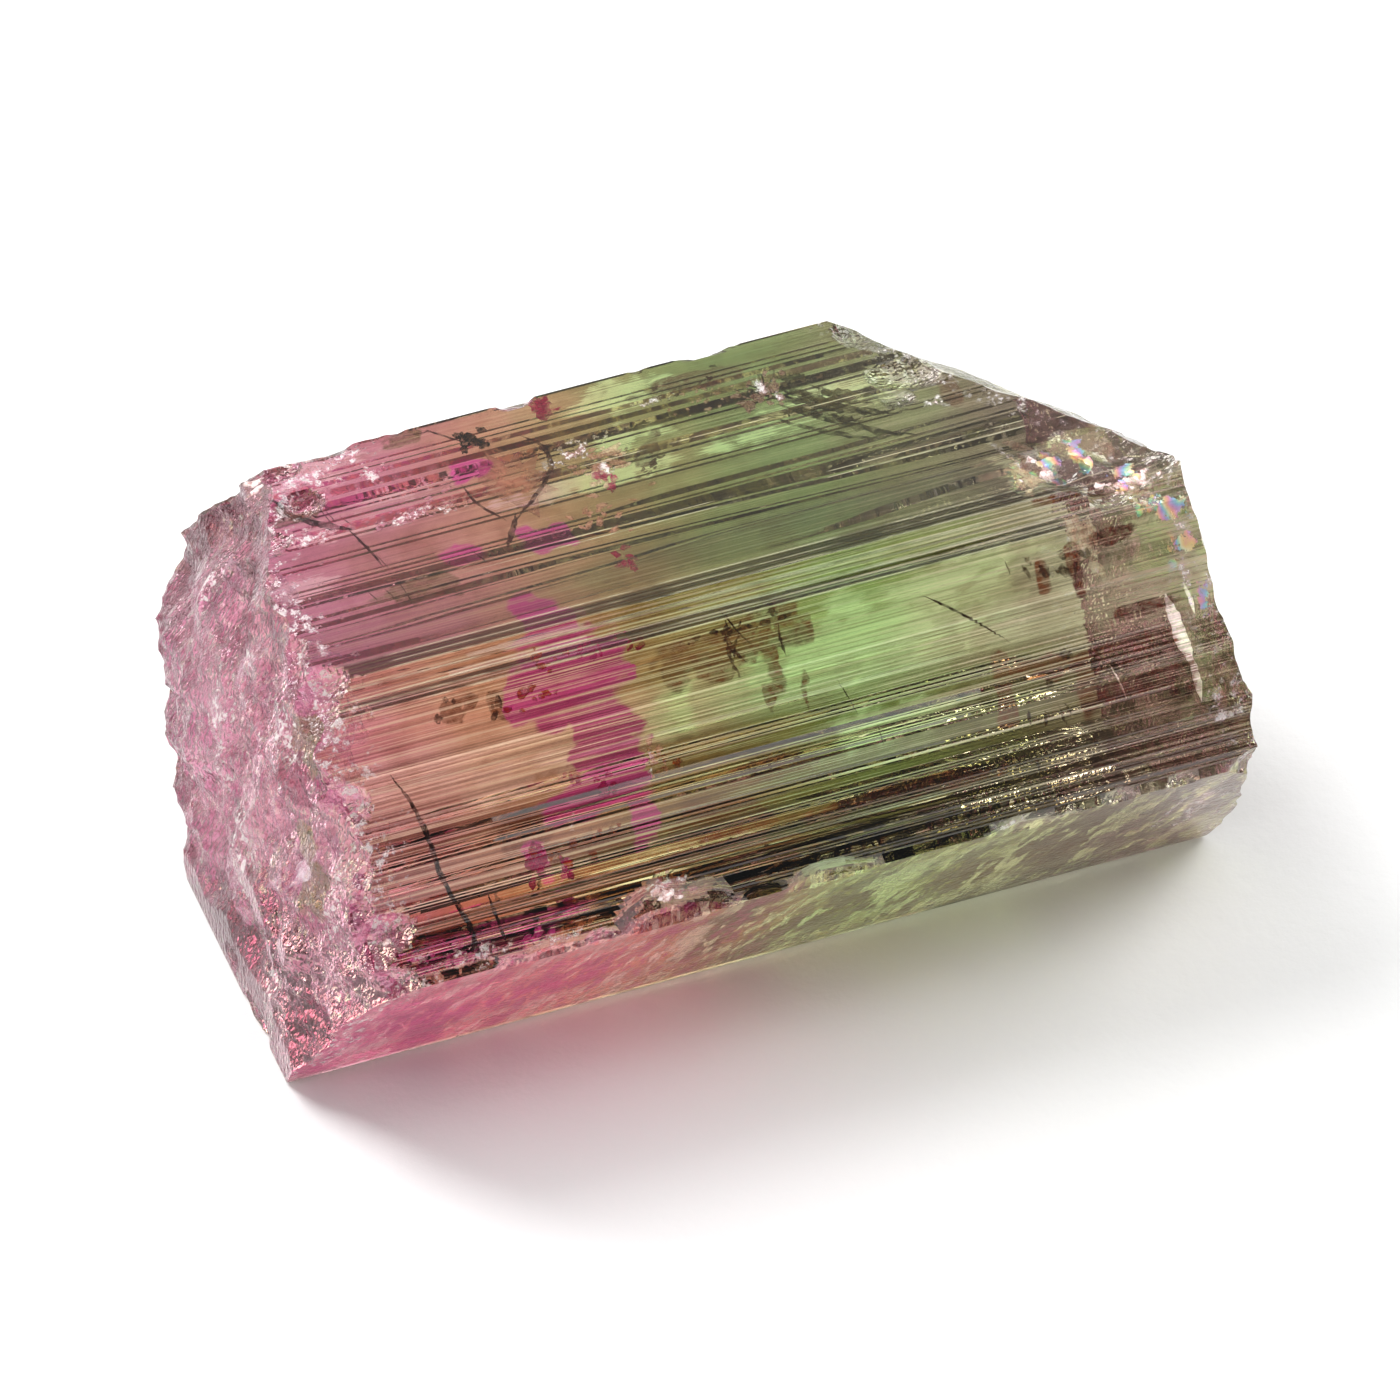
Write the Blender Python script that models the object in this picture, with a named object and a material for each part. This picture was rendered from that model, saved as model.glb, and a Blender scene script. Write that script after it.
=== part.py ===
"""A tourmaline crystal: one six-sided, bulging prism, striated along its length and broken across at both
ends, lying on one of its prism faces. +X runs along the crystal to its green-grey end, -Y is its front and
+Z is up. The origin is under the middle of its box, on the surface that it rests on.

Sizes are in millimetres here and become metres where a point is made. "Front" is a distance towards -Y from
the axis line, and "up" is a height above the rest face."""

import math
from collections import namedtuple

import bmesh
import bpy
from mathutils import Vector, noise

MM = 0.001

# The prism's faces round the section, from the front edge of the rest face upwards. angle is the outward
# normal's, in degrees above the front, and stria_depth is how deep the grooves along the face are.
# The two widths left as None close the section.
Face = namedtuple("Face", "name angle width stria_depth")
REST_FACE = Face("rest", -90.0, 9.6, 0.0)
FACES = (
    Face("lower_front", -30.0, 8.4, 0.010),
    Face("front_low", 26.0, 4.4, 0.065),
    Face("front_mid", 34.0, 2.7, 0.030),
    Face("front_high", 42.0, 2.0, 0.020),
    Face("ridge_steps", 64.0, 1.2, 0.090),
    Face("top", 89.0, 9.7, 0.025),
    Face("back_high", 148.0, None, 0.050),
    Face("back_mid", 180.0, 2.0, 0.080),
    Face("back_low", 212.0, None, 0.050),
)
REST_FRONT_EDGE = 5.2
STRIA_PITCH = 0.40
STRIA_FINE = 0.47
STRIA_BROAD = 1.29

# The prism is drawn longer than the crystal at both ends, and the two breaks cut it to length.
PRISM_START = -5.0
PRISM_END = 32.0

# A break is made of flat facets. start is a facet's place along the crystal on the axis line at the rest
# face, and the others say how far it moves along for each millimetre towards the front and upwards.
Facet = namedtuple("Facet", "start per_front per_up")
LEFT_FACETS = (
    Facet(-2.7, 0.0, 0.08),
    Facet(-4.3, 0.30, 0.10),
    Facet(-6.2, -0.20, 0.36),
)
RIGHT_FACETS = (
    Facet(28.8, 0.0, -0.08),
    Facet(43.3, 0.84, -1.20),
    Facet(27.0, 0.25, 0.30),
)
BREAK_CUTTER_REACH = 13.0
BREAK_CUTTER_CELLS = 42
BREAK_CUTTER_MIDDLE = 7.8
BREAK_CUTTER_PAST = 12.0

# Broken surfaces are uneven: shell-shaped hollows with crests between them, and a finer grain.
SHELL_DEPTH = 0.42
SHELL_SIZE = 3.4
SMALL_SHELL_SIZE = 1.6
GRAIN_DEPTH = 0.14
GRAIN_SIZE = 1.1
LEFT_SEED = 3.7
RIGHT_SEED = 11.2

# Chips knocked off the long edges, each by a rough ball that is stretched along the crystal, so that it
# leaves a long shallow scoop.
Chip = namedtuple("Chip", "along front up radius")
CHIPS = (
    Chip(8.6, 10.9, 8.0, 2.2),
    Chip(4.4, 11.0, 7.5, 1.9),
    Chip(13.8, 10.9, 7.2, 1.9),
    Chip(20.5, 11.0, 7.0, 1.9),
    Chip(29.0, 10.6, 7.0, 1.7),
    Chip(3.0, -8.3, 17.5, 3.1),
    Chip(15.5, -8.0, 17.0, 2.4),
    Chip(25.3, 2.9, 18.6, 3.6),
)
CHIP_STRETCH = 1.5
CHIP_ROUGHNESS = 0.12
CHIP_GRAIN = 0.9

WELD = 0.002


def clear_scene():
    for obj in list(bpy.data.objects):
        bpy.data.objects.remove(obj, do_unlink=True)


def collection(name):
    made = bpy.data.collections.new(name)
    bpy.context.scene.collection.children.link(made)
    return made


def across(angle):
    """The direction along a face whose normal has this angle, as (front, up), going round towards the top."""
    turn = math.radians(angle)
    return -math.sin(turn), math.cos(turn)


def face_widths():
    """The faces' widths, with the two that close the section worked out."""
    known = [(across(face.angle), face.width) for face in (REST_FACE, *FACES) if face.width]
    gap_front = -sum(step[0] * width for step, width in known)
    gap_up = -sum(step[1] * width for step, width in known)
    (a, b), (c, d) = (across(face.angle) for face in FACES if not face.width)
    scale = a * d - b * c
    closing = iter(((gap_front * d - gap_up * c) / scale, (gap_up * a - gap_front * b) / scale))
    return [face.width or next(closing) for face in FACES]


def stria(around):
    """How far the surface stands in, from about -1 to 1, at this distance round the section."""
    fine = noise.noise(Vector((around / STRIA_FINE, 4.0, 0.0)))
    broad = noise.noise(Vector((around / STRIA_BROAD, 9.0, 0.0)))
    return fine + broad / 2


def section():
    """The section's outline as (front, up) points: striated faces, and one flat face to rest on."""
    points = [(REST_FRONT_EDGE, 0.0)]
    front, up = points[0]
    around = 0.0
    for face, width in zip(FACES, face_widths()):
        step = across(face.angle)
        outward = step[1], -step[0]
        count = round(width / STRIA_PITCH)
        for i in range(1, count + 1):
            at = width * i / count
            # The striae die out at the end of a face, so that its edge stays where the widths put it.
            depth = face.stria_depth * stria(around + at) * min(1.0, (count - i) / 2)
            points.append((front + step[0] * at - outward[0] * depth, up + step[1] * at - outward[1] * depth))
        front, up = front + step[0] * width, up + step[1] * width
        around += width
    return points


def prism_outline(target):
    """The section drawn as a flat curve, extruded along the crystal."""
    outline = bpy.data.curves.new("prism_outline", "CURVE")
    outline.dimensions = "2D"
    outline.fill_mode = "BOTH"
    outline.extrude = (PRISM_END - PRISM_START) / 2 * MM
    points = section()
    spline = outline.splines.new("POLY")
    spline.points.add(len(points) - 1)
    for point, (front, up) in zip(spline.points, points):
        point.co = (-front * MM, up * MM, 0.0, 1.0)
    spline.use_cyclic_u = True
    obj = bpy.data.objects.new("prism_outline", outline)
    target.objects.link(obj)
    # The curve's plane is turned to stand across the crystal, with its own +Z along +X.
    obj.rotation_euler = (math.radians(90), 0.0, math.radians(90))
    obj.location = ((PRISM_START + PRISM_END) / 2 * MM, 0.0, 0.0)
    return obj


def prism(target):
    """The unbroken prism as one closed mesh."""
    outline = prism_outline(target)
    bpy.context.view_layer.update()
    evaluated = outline.evaluated_get(bpy.context.evaluated_depsgraph_get())
    mesh = bpy.data.meshes.new_from_object(evaluated)
    mesh.transform(outline.matrix_world)
    bpy.data.objects.remove(outline)
    shape = bmesh.new()
    shape.from_mesh(mesh)
    bmesh.ops.remove_doubles(shape, verts=shape.verts, dist=WELD * MM)
    bmesh.ops.recalc_face_normals(shape, faces=shape.faces)
    shape.to_mesh(mesh)
    shape.free()
    solid = bpy.data.objects.new("tourmaline_crystal", mesh)
    target.objects.link(solid)
    return solid


def unevenness(front, up, seed):
    """How far a broken surface stands in at this front and height."""
    place = Vector((front, up, 0.0))
    shells = 2 * abs(noise.noise(place / SHELL_SIZE + Vector((0.0, 0.0, seed))))
    small_shells = abs(noise.noise(place / SMALL_SHELL_SIZE + Vector((0.0, 0.0, 2 * seed))))
    grain = noise.noise(place / GRAIN_SIZE + Vector((0.0, 0.0, 3 * seed)))
    return SHELL_DEPTH * (shells + small_shells / 2 - 0.5) + GRAIN_DEPTH * grain


def break_cutter(target, name, facets, nearest_end, seed):
    """A block that takes away what lies past a broken end: a grid shaped as the break, extruded outwards.
    nearest_end is max at the start of the crystal and min at its far end."""
    outwards = -1.0 if nearest_end is max else 1.0
    shape = bmesh.new()
    cells = BREAK_CUTTER_CELLS
    bmesh.ops.create_grid(shape, x_segments=cells, y_segments=cells, size=BREAK_CUTTER_REACH)
    for vertex in shape.verts:
        front, up = vertex.co.x, vertex.co.y + BREAK_CUTTER_MIDDLE
        along = nearest_end(facet.start + front * facet.per_front + up * facet.per_up for facet in facets)
        vertex.co = Vector((along - outwards * unevenness(front, up, seed), -front, up)) * MM
    far_end = max(PRISM_START * outwards, PRISM_END * outwards) * outwards
    made = bmesh.ops.extrude_face_region(shape, geom=list(shape.faces))
    for element in made["geom"]:
        if isinstance(element, bmesh.types.BMVert):
            element.co.x = (far_end + outwards * BREAK_CUTTER_PAST) * MM
    bmesh.ops.recalc_face_normals(shape, faces=shape.faces)
    return as_cutter(target, name, shape)


def chip_cutter(target, name, chip, seed):
    """The rough ball that takes a chip off an edge."""
    shape = bmesh.new()
    bmesh.ops.create_icosphere(shape, subdivisions=3, radius=chip.radius)
    for vertex in shape.verts:
        bump = noise.noise(vertex.co / CHIP_GRAIN + Vector((seed, 0.0, 0.0)))
        vertex.co *= 1.0 + CHIP_ROUGHNESS * bump
        vertex.co.x *= CHIP_STRETCH
        vertex.co = (vertex.co + Vector((chip.along, -chip.front, chip.up))) * MM
    return as_cutter(target, name, shape)


def as_cutter(target, name, shape):
    mesh = bpy.data.meshes.new(name)
    shape.to_mesh(mesh)
    shape.free()
    obj = bpy.data.objects.new(name, mesh)
    target.objects.link(obj)
    obj.hide_render = True
    obj.display_type = "WIRE"
    return obj


def cut(solid, cutter):
    modifier = solid.modifiers.new(cutter.name, "BOOLEAN")
    modifier.operation = "DIFFERENCE"
    modifier.solver = "EXACT"
    modifier.object = cutter


def put_on_origin(solid, cutters):
    """Moves the crystal and its cutters together, until the origin is under the middle of its box."""
    bpy.context.view_layer.update()
    evaluated = solid.evaluated_get(bpy.context.evaluated_depsgraph_get())
    corners = [Vector(corner) for corner in evaluated.bound_box]
    middle = sum(corners, Vector()) / len(corners)
    holder = bpy.data.objects.new("tourmaline", None)
    solid.users_collection[0].objects.link(holder)
    holder.location = (-middle.x, -middle.y, 0.0)
    for obj in (solid, *cutters):
        obj.parent = holder


def tourmaline_material():
    material = bpy.data.materials.new("tourmaline")
    material.use_nodes = True
    shader = material.node_tree.nodes["Principled BSDF"]
    shader.inputs["Base Color"].default_value = (0.55, 0.42, 0.33, 1.0)
    shader.inputs["Roughness"].default_value = 0.12
    shader.inputs["Metallic"].default_value = 0.0
    shader.inputs["IOR"].default_value = 1.63
    shader.inputs["Transmission Weight"].default_value = 1.0
    return material


def build():
    clear_scene()
    parts = collection("tourmaline")
    cutter_shelf = collection("cutters")
    crystal = prism(parts)
    cutters = [
        break_cutter(cutter_shelf, "left_break", LEFT_FACETS, max, LEFT_SEED),
        break_cutter(cutter_shelf, "right_break", RIGHT_FACETS, min, RIGHT_SEED),
    ]
    for number, chip in enumerate(CHIPS):
        cutters.append(chip_cutter(cutter_shelf, f"chip_{number}", chip, float(number * 7)))
    for cutter in cutters:
        cut(crystal, cutter)
    crystal.data.materials.append(tourmaline_material())
    crystal.data.shade_smooth()
    crystal.data.set_sharp_from_angle(angle=math.radians(20))
    put_on_origin(crystal, cutters)


build()
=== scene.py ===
"""The looks of a bicolour tourmaline crystal: striated glassy faces, hackly broken ends, colour zones from
pink to green, and the cracks and flakes sealed in it. It lies on a white paper under a large soft light.

Lengths are in millimetres here, and MM turns them into metres. "Along" is a distance along the crystal,
"front" is a distance towards -Y from its axis line, "up" is a height above the rest face, and "around" is a
distance round the section, from the front edge of the rest face upwards."""

import math
import random
from collections import namedtuple

import bpy
import numpy as np
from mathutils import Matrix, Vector, geometry, noise


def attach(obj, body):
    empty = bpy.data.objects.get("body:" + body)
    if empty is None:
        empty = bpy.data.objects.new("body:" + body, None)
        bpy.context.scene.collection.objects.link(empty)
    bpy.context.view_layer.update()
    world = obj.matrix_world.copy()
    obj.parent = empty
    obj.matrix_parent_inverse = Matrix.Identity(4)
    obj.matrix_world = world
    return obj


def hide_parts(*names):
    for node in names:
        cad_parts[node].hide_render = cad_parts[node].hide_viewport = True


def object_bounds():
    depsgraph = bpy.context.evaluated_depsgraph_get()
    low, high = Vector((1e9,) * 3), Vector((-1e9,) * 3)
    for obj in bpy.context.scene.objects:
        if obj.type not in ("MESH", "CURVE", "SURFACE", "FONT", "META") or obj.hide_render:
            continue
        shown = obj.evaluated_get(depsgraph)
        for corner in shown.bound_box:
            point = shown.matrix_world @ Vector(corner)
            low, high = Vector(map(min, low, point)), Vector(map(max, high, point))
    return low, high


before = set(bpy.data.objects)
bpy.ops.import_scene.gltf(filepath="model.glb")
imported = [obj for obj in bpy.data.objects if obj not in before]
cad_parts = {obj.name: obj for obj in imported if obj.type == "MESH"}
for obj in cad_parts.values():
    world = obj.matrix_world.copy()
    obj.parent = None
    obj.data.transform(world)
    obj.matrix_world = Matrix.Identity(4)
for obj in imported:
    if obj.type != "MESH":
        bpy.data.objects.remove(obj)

CAD_BOX = [list(corner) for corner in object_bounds()]
MM = 0.001

# The frame's origin in the crystal's own measures, as in the CAD model.
ORIGIN_ALONG = 12.941
ORIGIN_FRONT = -0.08

# The prism's faces as in the CAD model, with the growth lines that run along them. A face is made of smooth
# panels with bundles of fine lines between them. A lean is how far a panel or a line tips, in degrees.
Face = namedtuple("Face", "name angle width panel panel_lean bundle line line_lean")
FACES = (
    Face("lower_front", -30.0, 8.4, 1.5, 0.8, 0.3, 0.1, 2.0),
    Face("front_low", 26.0, 4.4, 0.42, 2.5, 0.36, 0.055, 16.0),
    Face("front_mid", 34.0, 2.7, 0.24, 2.0, 0.42, 0.06, 13.0),
    Face("front_high", 42.0, 2.0, 0.75, 1.2, 0.16, 0.06, 9.0),
    Face("ridge_steps", 64.0, 1.2, 0.11, 27.0, 0.04, 0.04, 6.0),
    Face("top", 89.0, 9.7, 1.4, 0.6, 0.09, 0.045, 1.3),
    Face("back_high", 148.0, None, 0.5, 5.0, 0.26, 0.11, 9.0),
    Face("back_mid", 180.0, 2.0, 0.5, 5.0, 0.26, 0.11, 9.0),
    Face("back_low", 212.0, None, 0.5, 5.0, 0.26, 0.11, 9.0),
)
REST_FACE = Face("rest", -90.0, 9.6, 0.8, 0.0, 0.2, 0.2, 0.0)
REST_FRONT_EDGE = 5.2
PANEL_POINT_GAP = 0.17
WIDTH_SPREAD = 0.4
STEP_SEED = 21

# The steps change along the crystal: it blends between a few sets of leans, over this length.
STEP_SETS = 3
STEP_CHANGE_ALONG = 22.0
STEP_CHANGE_AROUND = 2.0
STEP_SHARE = 0.36
STEP_SWING = 1.1

# The breaks at the two ends, as in the CAD model. nearest_end says which facet of a break cuts first, and
# hollows is how deep the finer hollows are on it.
Facet = namedtuple("Facet", "start per_front per_up")
Break = namedtuple("Break", "facets nearest_end seed hollows")
LEFT_FACETS = (Facet(-2.7, 0.0, 0.08), Facet(-4.3, 0.3, 0.1), Facet(-6.2, -0.2, 0.36))
RIGHT_FACETS = (Facet(28.8, 0.0, -0.08), Facet(43.3, 0.84, -1.2), Facet(27.0, 0.25, 0.3))
LEFT_BREAK = Break(LEFT_FACETS, max, 3.7, 1.0)
RIGHT_BREAK = Break(RIGHT_FACETS, min, 11.2, 0.4)
SHELL_DEPTH = 0.42
SHELL_SIZE = 3.4
SMALL_SHELL_SIZE = 1.6
GRAIN_DEPTH = 0.14
GRAIN_SIZE = 1.1

# Finer shell-shaped hollows on the breaks: the size and the depth of each order of them.
Hollows = namedtuple("Hollows", "size depth")
HOLLOWS = (Hollows(3.1, 0.34), Hollows(1.4, 0.2), Hollows(0.65, 0.085), Hollows(0.34, 0.035))
BOWL_SLOPE = 0.55
BOWL_CURVE = 2.2
BOWL_MIDDLE = 0.6
BOWL_JITTER = 0.45
BOWL_SPAN = ((-12, 12), (-2, 18))
SPOTS_AT_ONCE = 1500

# The skin's net. On the breaks: the gap between points, the (front, up) spans that they fill, how far they
# stray, and the share of the gap that they keep from the rim. On the sides: how many rings of points there
# are, how much closer together near the ends, and the angle from which an edge is sharp.
CAP_GRID = 0.14
CAP_SPAN = ((-11, 11), (0, 16))
CAP_JITTER = 0.3
CAP_RIM_GAP = 0.55
STATIONS = 146
END_CLOSENESS = 0.45
SHARP_ANGLE = 7.0

# The bake map: its size for each millimetre, and where on it the breaks lie.
BAKE_SCALE = 0.0172
BAKE_CAPS_FROM = 0.63
BAKE_RIGHT_CAP_FROM = 0.5

# Chips, as in the CAD model: scoops that a rough ball leaves, stretched along the crystal.
Chip = namedtuple("Chip", "along front up radius")
CHIPS = (
    Chip(8.6, 10.9, 8.0, 2.2),
    Chip(4.4, 11.0, 7.5, 1.9),
    Chip(13.8, 10.9, 7.2, 1.9),
    Chip(20.5, 11.0, 7.0, 1.9),
    Chip(29.0, 10.6, 7.0, 1.7),
    Chip(3.0, -8.3, 17.5, 3.1),
    Chip(15.5, -8.0, 17.0, 2.4),
    Chip(25.3, 2.9, 18.6, 3.6),
)
CHIP_STRETCH = 1.5
CHIP_ROUGHNESS = 0.12
CHIP_GRAIN = 0.9
CHIP_FINE_DEPTH = 0.05
CHIP_FINE_SIZE = 0.35
LARGE_CHIP_MARK = 0.3
BOX_MARGIN = 0.004

# Chips cut towards this place inside the crystal, but less so along it.
CHIP_AIM = np.array((ORIGIN_ALONG, 0.0, 7.8))
CHIP_PULL = (0.4, 1.0, 1.0)

# Smaller chips along the edges where the faces meet each other and the breaks: how many there are, between
# which places along the crystal, the (front, up) places that they run between, and their radii.
ChipRow = namedtuple("ChipRow", "count low high first last small big")
CHIP_ROWS = (
    ChipRow(15, -1.0, 27.5, (9.75, 7.3), (9.75, 7.3), 0.25, 0.6),
    ChipRow(14, -2.6, -0.6, (9.6, 7.0), (6.2, 14.2), 0.35, 0.9),
    ChipRow(9, -2.6, -0.8, (5.4, 14.9), (1.0, 15.9), 0.45, 0.9),
    ChipRow(9, -2.0, 2.0, (0.5, 16.0), (-6.4, 15.9), 0.4, 0.75),
    ChipRow(18, 2.0, 25.0, (-6.5, 16.0), (-6.5, 16.0), 0.3, 0.55),
    ChipRow(12, 20.5, 24.5, (-6.3, 15.9), (-1.5, 16.0), 0.4, 0.8),
    ChipRow(12, 24.5, 27.9, (-1.0, 16.0), (5.0, 15.4), 0.35, 0.7),
    ChipRow(6, 28.4, 29.0, (5.4, 15.0), (9.7, 7.6), 0.25, 0.45),
)
CHIP_SEED = 17


# -------------------- the section

def outward(angle):
    """The direction that a face with this angle looks in, as (front, up)."""
    return np.array((math.cos(math.radians(angle)), math.sin(math.radians(angle))))


def across(angle):
    """The direction along a face, going round towards the top."""
    return outward(angle + 90.0)


def face_widths():
    """The faces' widths, with the two that close the section worked out."""
    faces = (REST_FACE, *FACES)
    gap = -sum(across(face.angle) * face.width for face in faces if face.width)
    unknown = np.column_stack([across(face.angle) for face in faces if not face.width])
    closing = iter(np.linalg.solve(unknown, gap))
    return [face.width or next(closing) for face in faces]


def split(total, pitch, draw):
    """Widths that vary about the pitch and add up to the total."""
    widths = [pitch * math.exp(draw.gauss(0.0, WIDTH_SPREAD)) for _ in range(max(1, round(total / pitch)))]
    return [width * total / sum(widths) for width in widths]


def bands(face, width, draw):
    """A face's growth lines, as (width, lean, kind) steps across it. The kinds are panel and line."""
    steps = []
    for pair in split(width, face.panel + face.bundle, draw):
        panel = pair * face.panel / (face.panel + face.bundle)
        steps += [(step, face.panel_lean, "panel") for step in split(panel, PANEL_POINT_GAP, draw)]
        steps += [(step, face.line_lean, "line") for step in split(pair - panel, face.line, draw)]
    return steps


def rises(steps, draw):
    """How far out each step climbs. A panel's steps share one lean, and lines tip to and fro."""
    made = []
    side = 1
    last_kind = None
    for width, lean, kind in steps:
        if kind != "panel" or last_kind != "panel":
            side = -side
            panel_tip = side * lean * draw.uniform(0.5, 1.3)
        if kind == "panel":
            tip = panel_tip + lean * draw.uniform(-0.12, 0.12)
        else:
            tip = side * lean * draw.uniform(0.2, 1.5)
        made.append(width * math.tan(math.radians(tip)))
        last_kind = kind
    return made


def section():
    """The outline, from the front edge of the rest face upwards: points on the flat faces, which way each
    looks, its distance round, how far each set of steps moves it out, and whether a line leads up to it."""
    draw = random.Random(STEP_SEED)
    corner = np.array((REST_FRONT_EDGE, 0.0))
    points, looks, arounds, offsets, lined = [], [], [], [], []
    around = 0.0
    widths = face_widths()
    for face, width in zip((*FACES, REST_FACE), (*widths[1:], widths[0])):
        steps = bands(face, width, draw)
        at = np.cumsum([step[0] for step in steps])
        heights = [np.cumsum(rises(steps, draw)) for _ in range(STEP_SETS)]
        offsets.append(np.array([height - height[-1] * at / width for height in heights]))
        points.append(corner + np.outer(at, across(face.angle)))
        looks.append(np.tile(outward(face.angle), (len(at), 1)))
        arounds.append(around + at)
        lined.append([step[2] != "panel" for step in steps])
        corner = corner + across(face.angle) * width
        around += width
    return (np.concatenate(points), np.concatenate(looks), np.concatenate(arounds),
            np.concatenate(offsets, axis=1), np.concatenate(lined))


def step_blend(around, along, number):
    """How strongly a set of steps shows at this place."""
    spot = Vector((around / STEP_CHANGE_AROUND, along / STEP_CHANGE_ALONG, number * 10.0))
    return max(0.0, STEP_SHARE + STEP_SWING * noise.noise(spot))


# -------------------- the breaks

def unevenness(front, up, seed):
    """How far a break stands in, as in the CAD model."""
    spot = Vector((front, up, 0.0))
    shells = 2 * abs(noise.noise(spot / SHELL_SIZE + Vector((0.0, 0.0, seed))))
    small_shells = abs(noise.noise(spot / SMALL_SHELL_SIZE + Vector((0.0, 0.0, 2 * seed))))
    grain = noise.noise(spot / GRAIN_SIZE + Vector((0.0, 0.0, 3 * seed)))
    return SHELL_DEPTH * (shells + small_shells / 2 - 0.5) + GRAIN_DEPTH * grain


def jittered_grid(span, gap, jitter, draw):
    """The spots of a square grid, each moved a little."""
    front, up = (np.arange(*reach, gap) for reach in span)
    grid = np.stack(np.meshgrid(front, up), axis=-1).reshape(-1, 2)
    return grid + draw.uniform(-jitter, jitter, grid.shape) * gap


def hollows(spots, size, depth, seed):
    """How far each spot stands in: a seeded crowd of shallow bowls that meet in sharp crests."""
    draw = np.random.default_rng(seed)
    centres = jittered_grid(BOWL_SPAN, size, BOWL_JITTER, draw)
    levels = draw.uniform(0.0, 1.0, len(centres))
    slopes = draw.normal(0.0, BOWL_SLOPE, centres.shape)
    stood_in = np.empty(len(spots))
    for start in range(0, len(spots), SPOTS_AT_ONCE):
        some = slice(start, start + SPOTS_AT_ONCE)
        gap = (spots[some, None, :] - centres[None, :, :]) / size
        bowls = levels + (gap * slopes).sum(axis=2) - BOWL_CURVE * (gap ** 2).sum(axis=2)
        stood_in[some] = bowls.max(axis=1)
    return depth * (stood_in - BOWL_MIDDLE)


def break_surface(spots, end):
    """The place along the crystal of a broken end at each (front, up) spot."""
    outwards = -1.0 if end is LEFT_BREAK else 1.0
    flat = [end.nearest_end(f.start + front * f.per_front + up * f.per_up for f in end.facets)
            for front, up in spots]
    stood_in = np.array([unevenness(front, up, end.seed) for front, up in spots])
    for order, kind in enumerate(HOLLOWS):
        stood_in += end.hollows * hollows(spots, kind.size, kind.depth, int(end.seed * 10) + order)
    return np.array(flat) - outwards * stood_in


# -------------------- the crystal

def stations():
    """Shares of the way from the left break to the right one, closer together near both ends."""
    even = np.linspace(0.0, 1.0, STATIONS)
    return even - END_CLOSENESS * np.sin(2 * math.pi * even) / (2 * math.pi)


def inside_outline(spots, outline):
    """Which spots lie inside the closed outline."""
    inside = np.zeros(len(spots), dtype=bool)
    for (ax, ay), (bx, by) in zip(outline, np.roll(outline, -1, axis=0)):
        crosses = (ay > spots[:, 1]) != (by > spots[:, 1])
        with np.errstate(divide="ignore", invalid="ignore"):
            reach = (bx - ax) * (spots[:, 1] - ay) / (by - ay) + ax
        inside ^= crosses & (spots[:, 0] < reach)
    return inside


def cap_net(outline, seed):
    """A net over the outline: its inner points, and its triangles, which number the rim's points first."""
    grid = jittered_grid(CAP_SPAN, CAP_GRID, CAP_JITTER, np.random.default_rng(seed))
    grid = grid[inside_outline(grid, outline)]
    gap = np.array([np.min(np.hypot(*(outline - spot).T)) for spot in grid])
    inner = grid[gap > CAP_GRID * CAP_RIM_GAP]
    spots = [Vector(spot) for spot in (*outline, *inner)]
    rim = [(i, (i + 1) % len(outline)) for i in range(len(outline))]
    made = geometry.delaunay_2d_cdt(spots, rim, [], 1, 1e-6)
    origins = [source[0] for source in made[3]]
    return inner, [[origins[corner] for corner in face] for face in made[2]]


def small_chips():
    """Chips scattered along the rows."""
    draw = random.Random(CHIP_SEED)
    chips = []
    for row in CHIP_ROWS:
        for i in range(row.count):
            share = (i + draw.random()) / row.count
            front, up = (a + (b - a) * share for a, b in zip(row.first, row.last))
            along = draw.uniform(row.low, row.high)
            spot = along, front + draw.gauss(0, 0.12), up + draw.gauss(0, 0.12)
            chips.append(Chip(*spot, draw.uniform(row.small, row.big)))
    return chips


def chip_step(chip, number, point, gap, way):
    """How far a point goes along this way to reach the chip's rough far side."""
    offset = Vector((number * 7.0, 0.0, 0.0))
    bump = noise.noise(Vector(gap / chip.radius) * (chip.radius / CHIP_GRAIN) + offset)
    fine = noise.noise(Vector(point) / CHIP_FINE_SIZE)
    radius = chip.radius * (1.0 + CHIP_ROUGHNESS * bump) - CHIP_FINE_DEPTH * abs(fine)
    along_way = gap @ way
    reach = along_way ** 2 - gap @ gap + radius ** 2
    return math.sqrt(reach) - along_way if reach > 0 else 0.0


def chipped(points):
    """Moves the points that lie inside a chip's ball to its far side, and marks how chipped they are."""
    marks = np.zeros(len(points))
    stretch = np.array((CHIP_STRETCH, 1.0, 1.0))
    for number, chip in enumerate((*CHIPS, *small_chips())):
        gap = (points - (chip.along, chip.front, chip.up)) / stretch
        for i in np.nonzero(np.linalg.norm(gap, axis=1) < chip.radius)[0]:
            way = (CHIP_AIM - points[i]) * CHIP_PULL / stretch
            way /= np.linalg.norm(way)
            step = chip_step(chip, number, points[i], gap[i], way)
            if step > 0:
                points[i] += way * step * stretch
                marks[i] = 1.0 if number >= len(CHIPS) else max(marks[i], LARGE_CHIP_MARK)
    return points, marks


def side_points(flat, looks, arounds, offsets):
    """The prism's points, station by station, with their places along the crystal."""
    left, right = break_surface(flat, LEFT_BREAK), break_surface(flat, RIGHT_BREAK)
    rows = []
    for share in stations():
        along = left + (right - left) * share
        weights = np.array([[step_blend(around, x, number) for around, x in zip(arounds, along)]
                            for number in range(STEP_SETS)])
        moved = (weights * offsets).sum(axis=0)
        rows.append(np.column_stack((along, flat + looks * moved[:, None])))
    return rows


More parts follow.
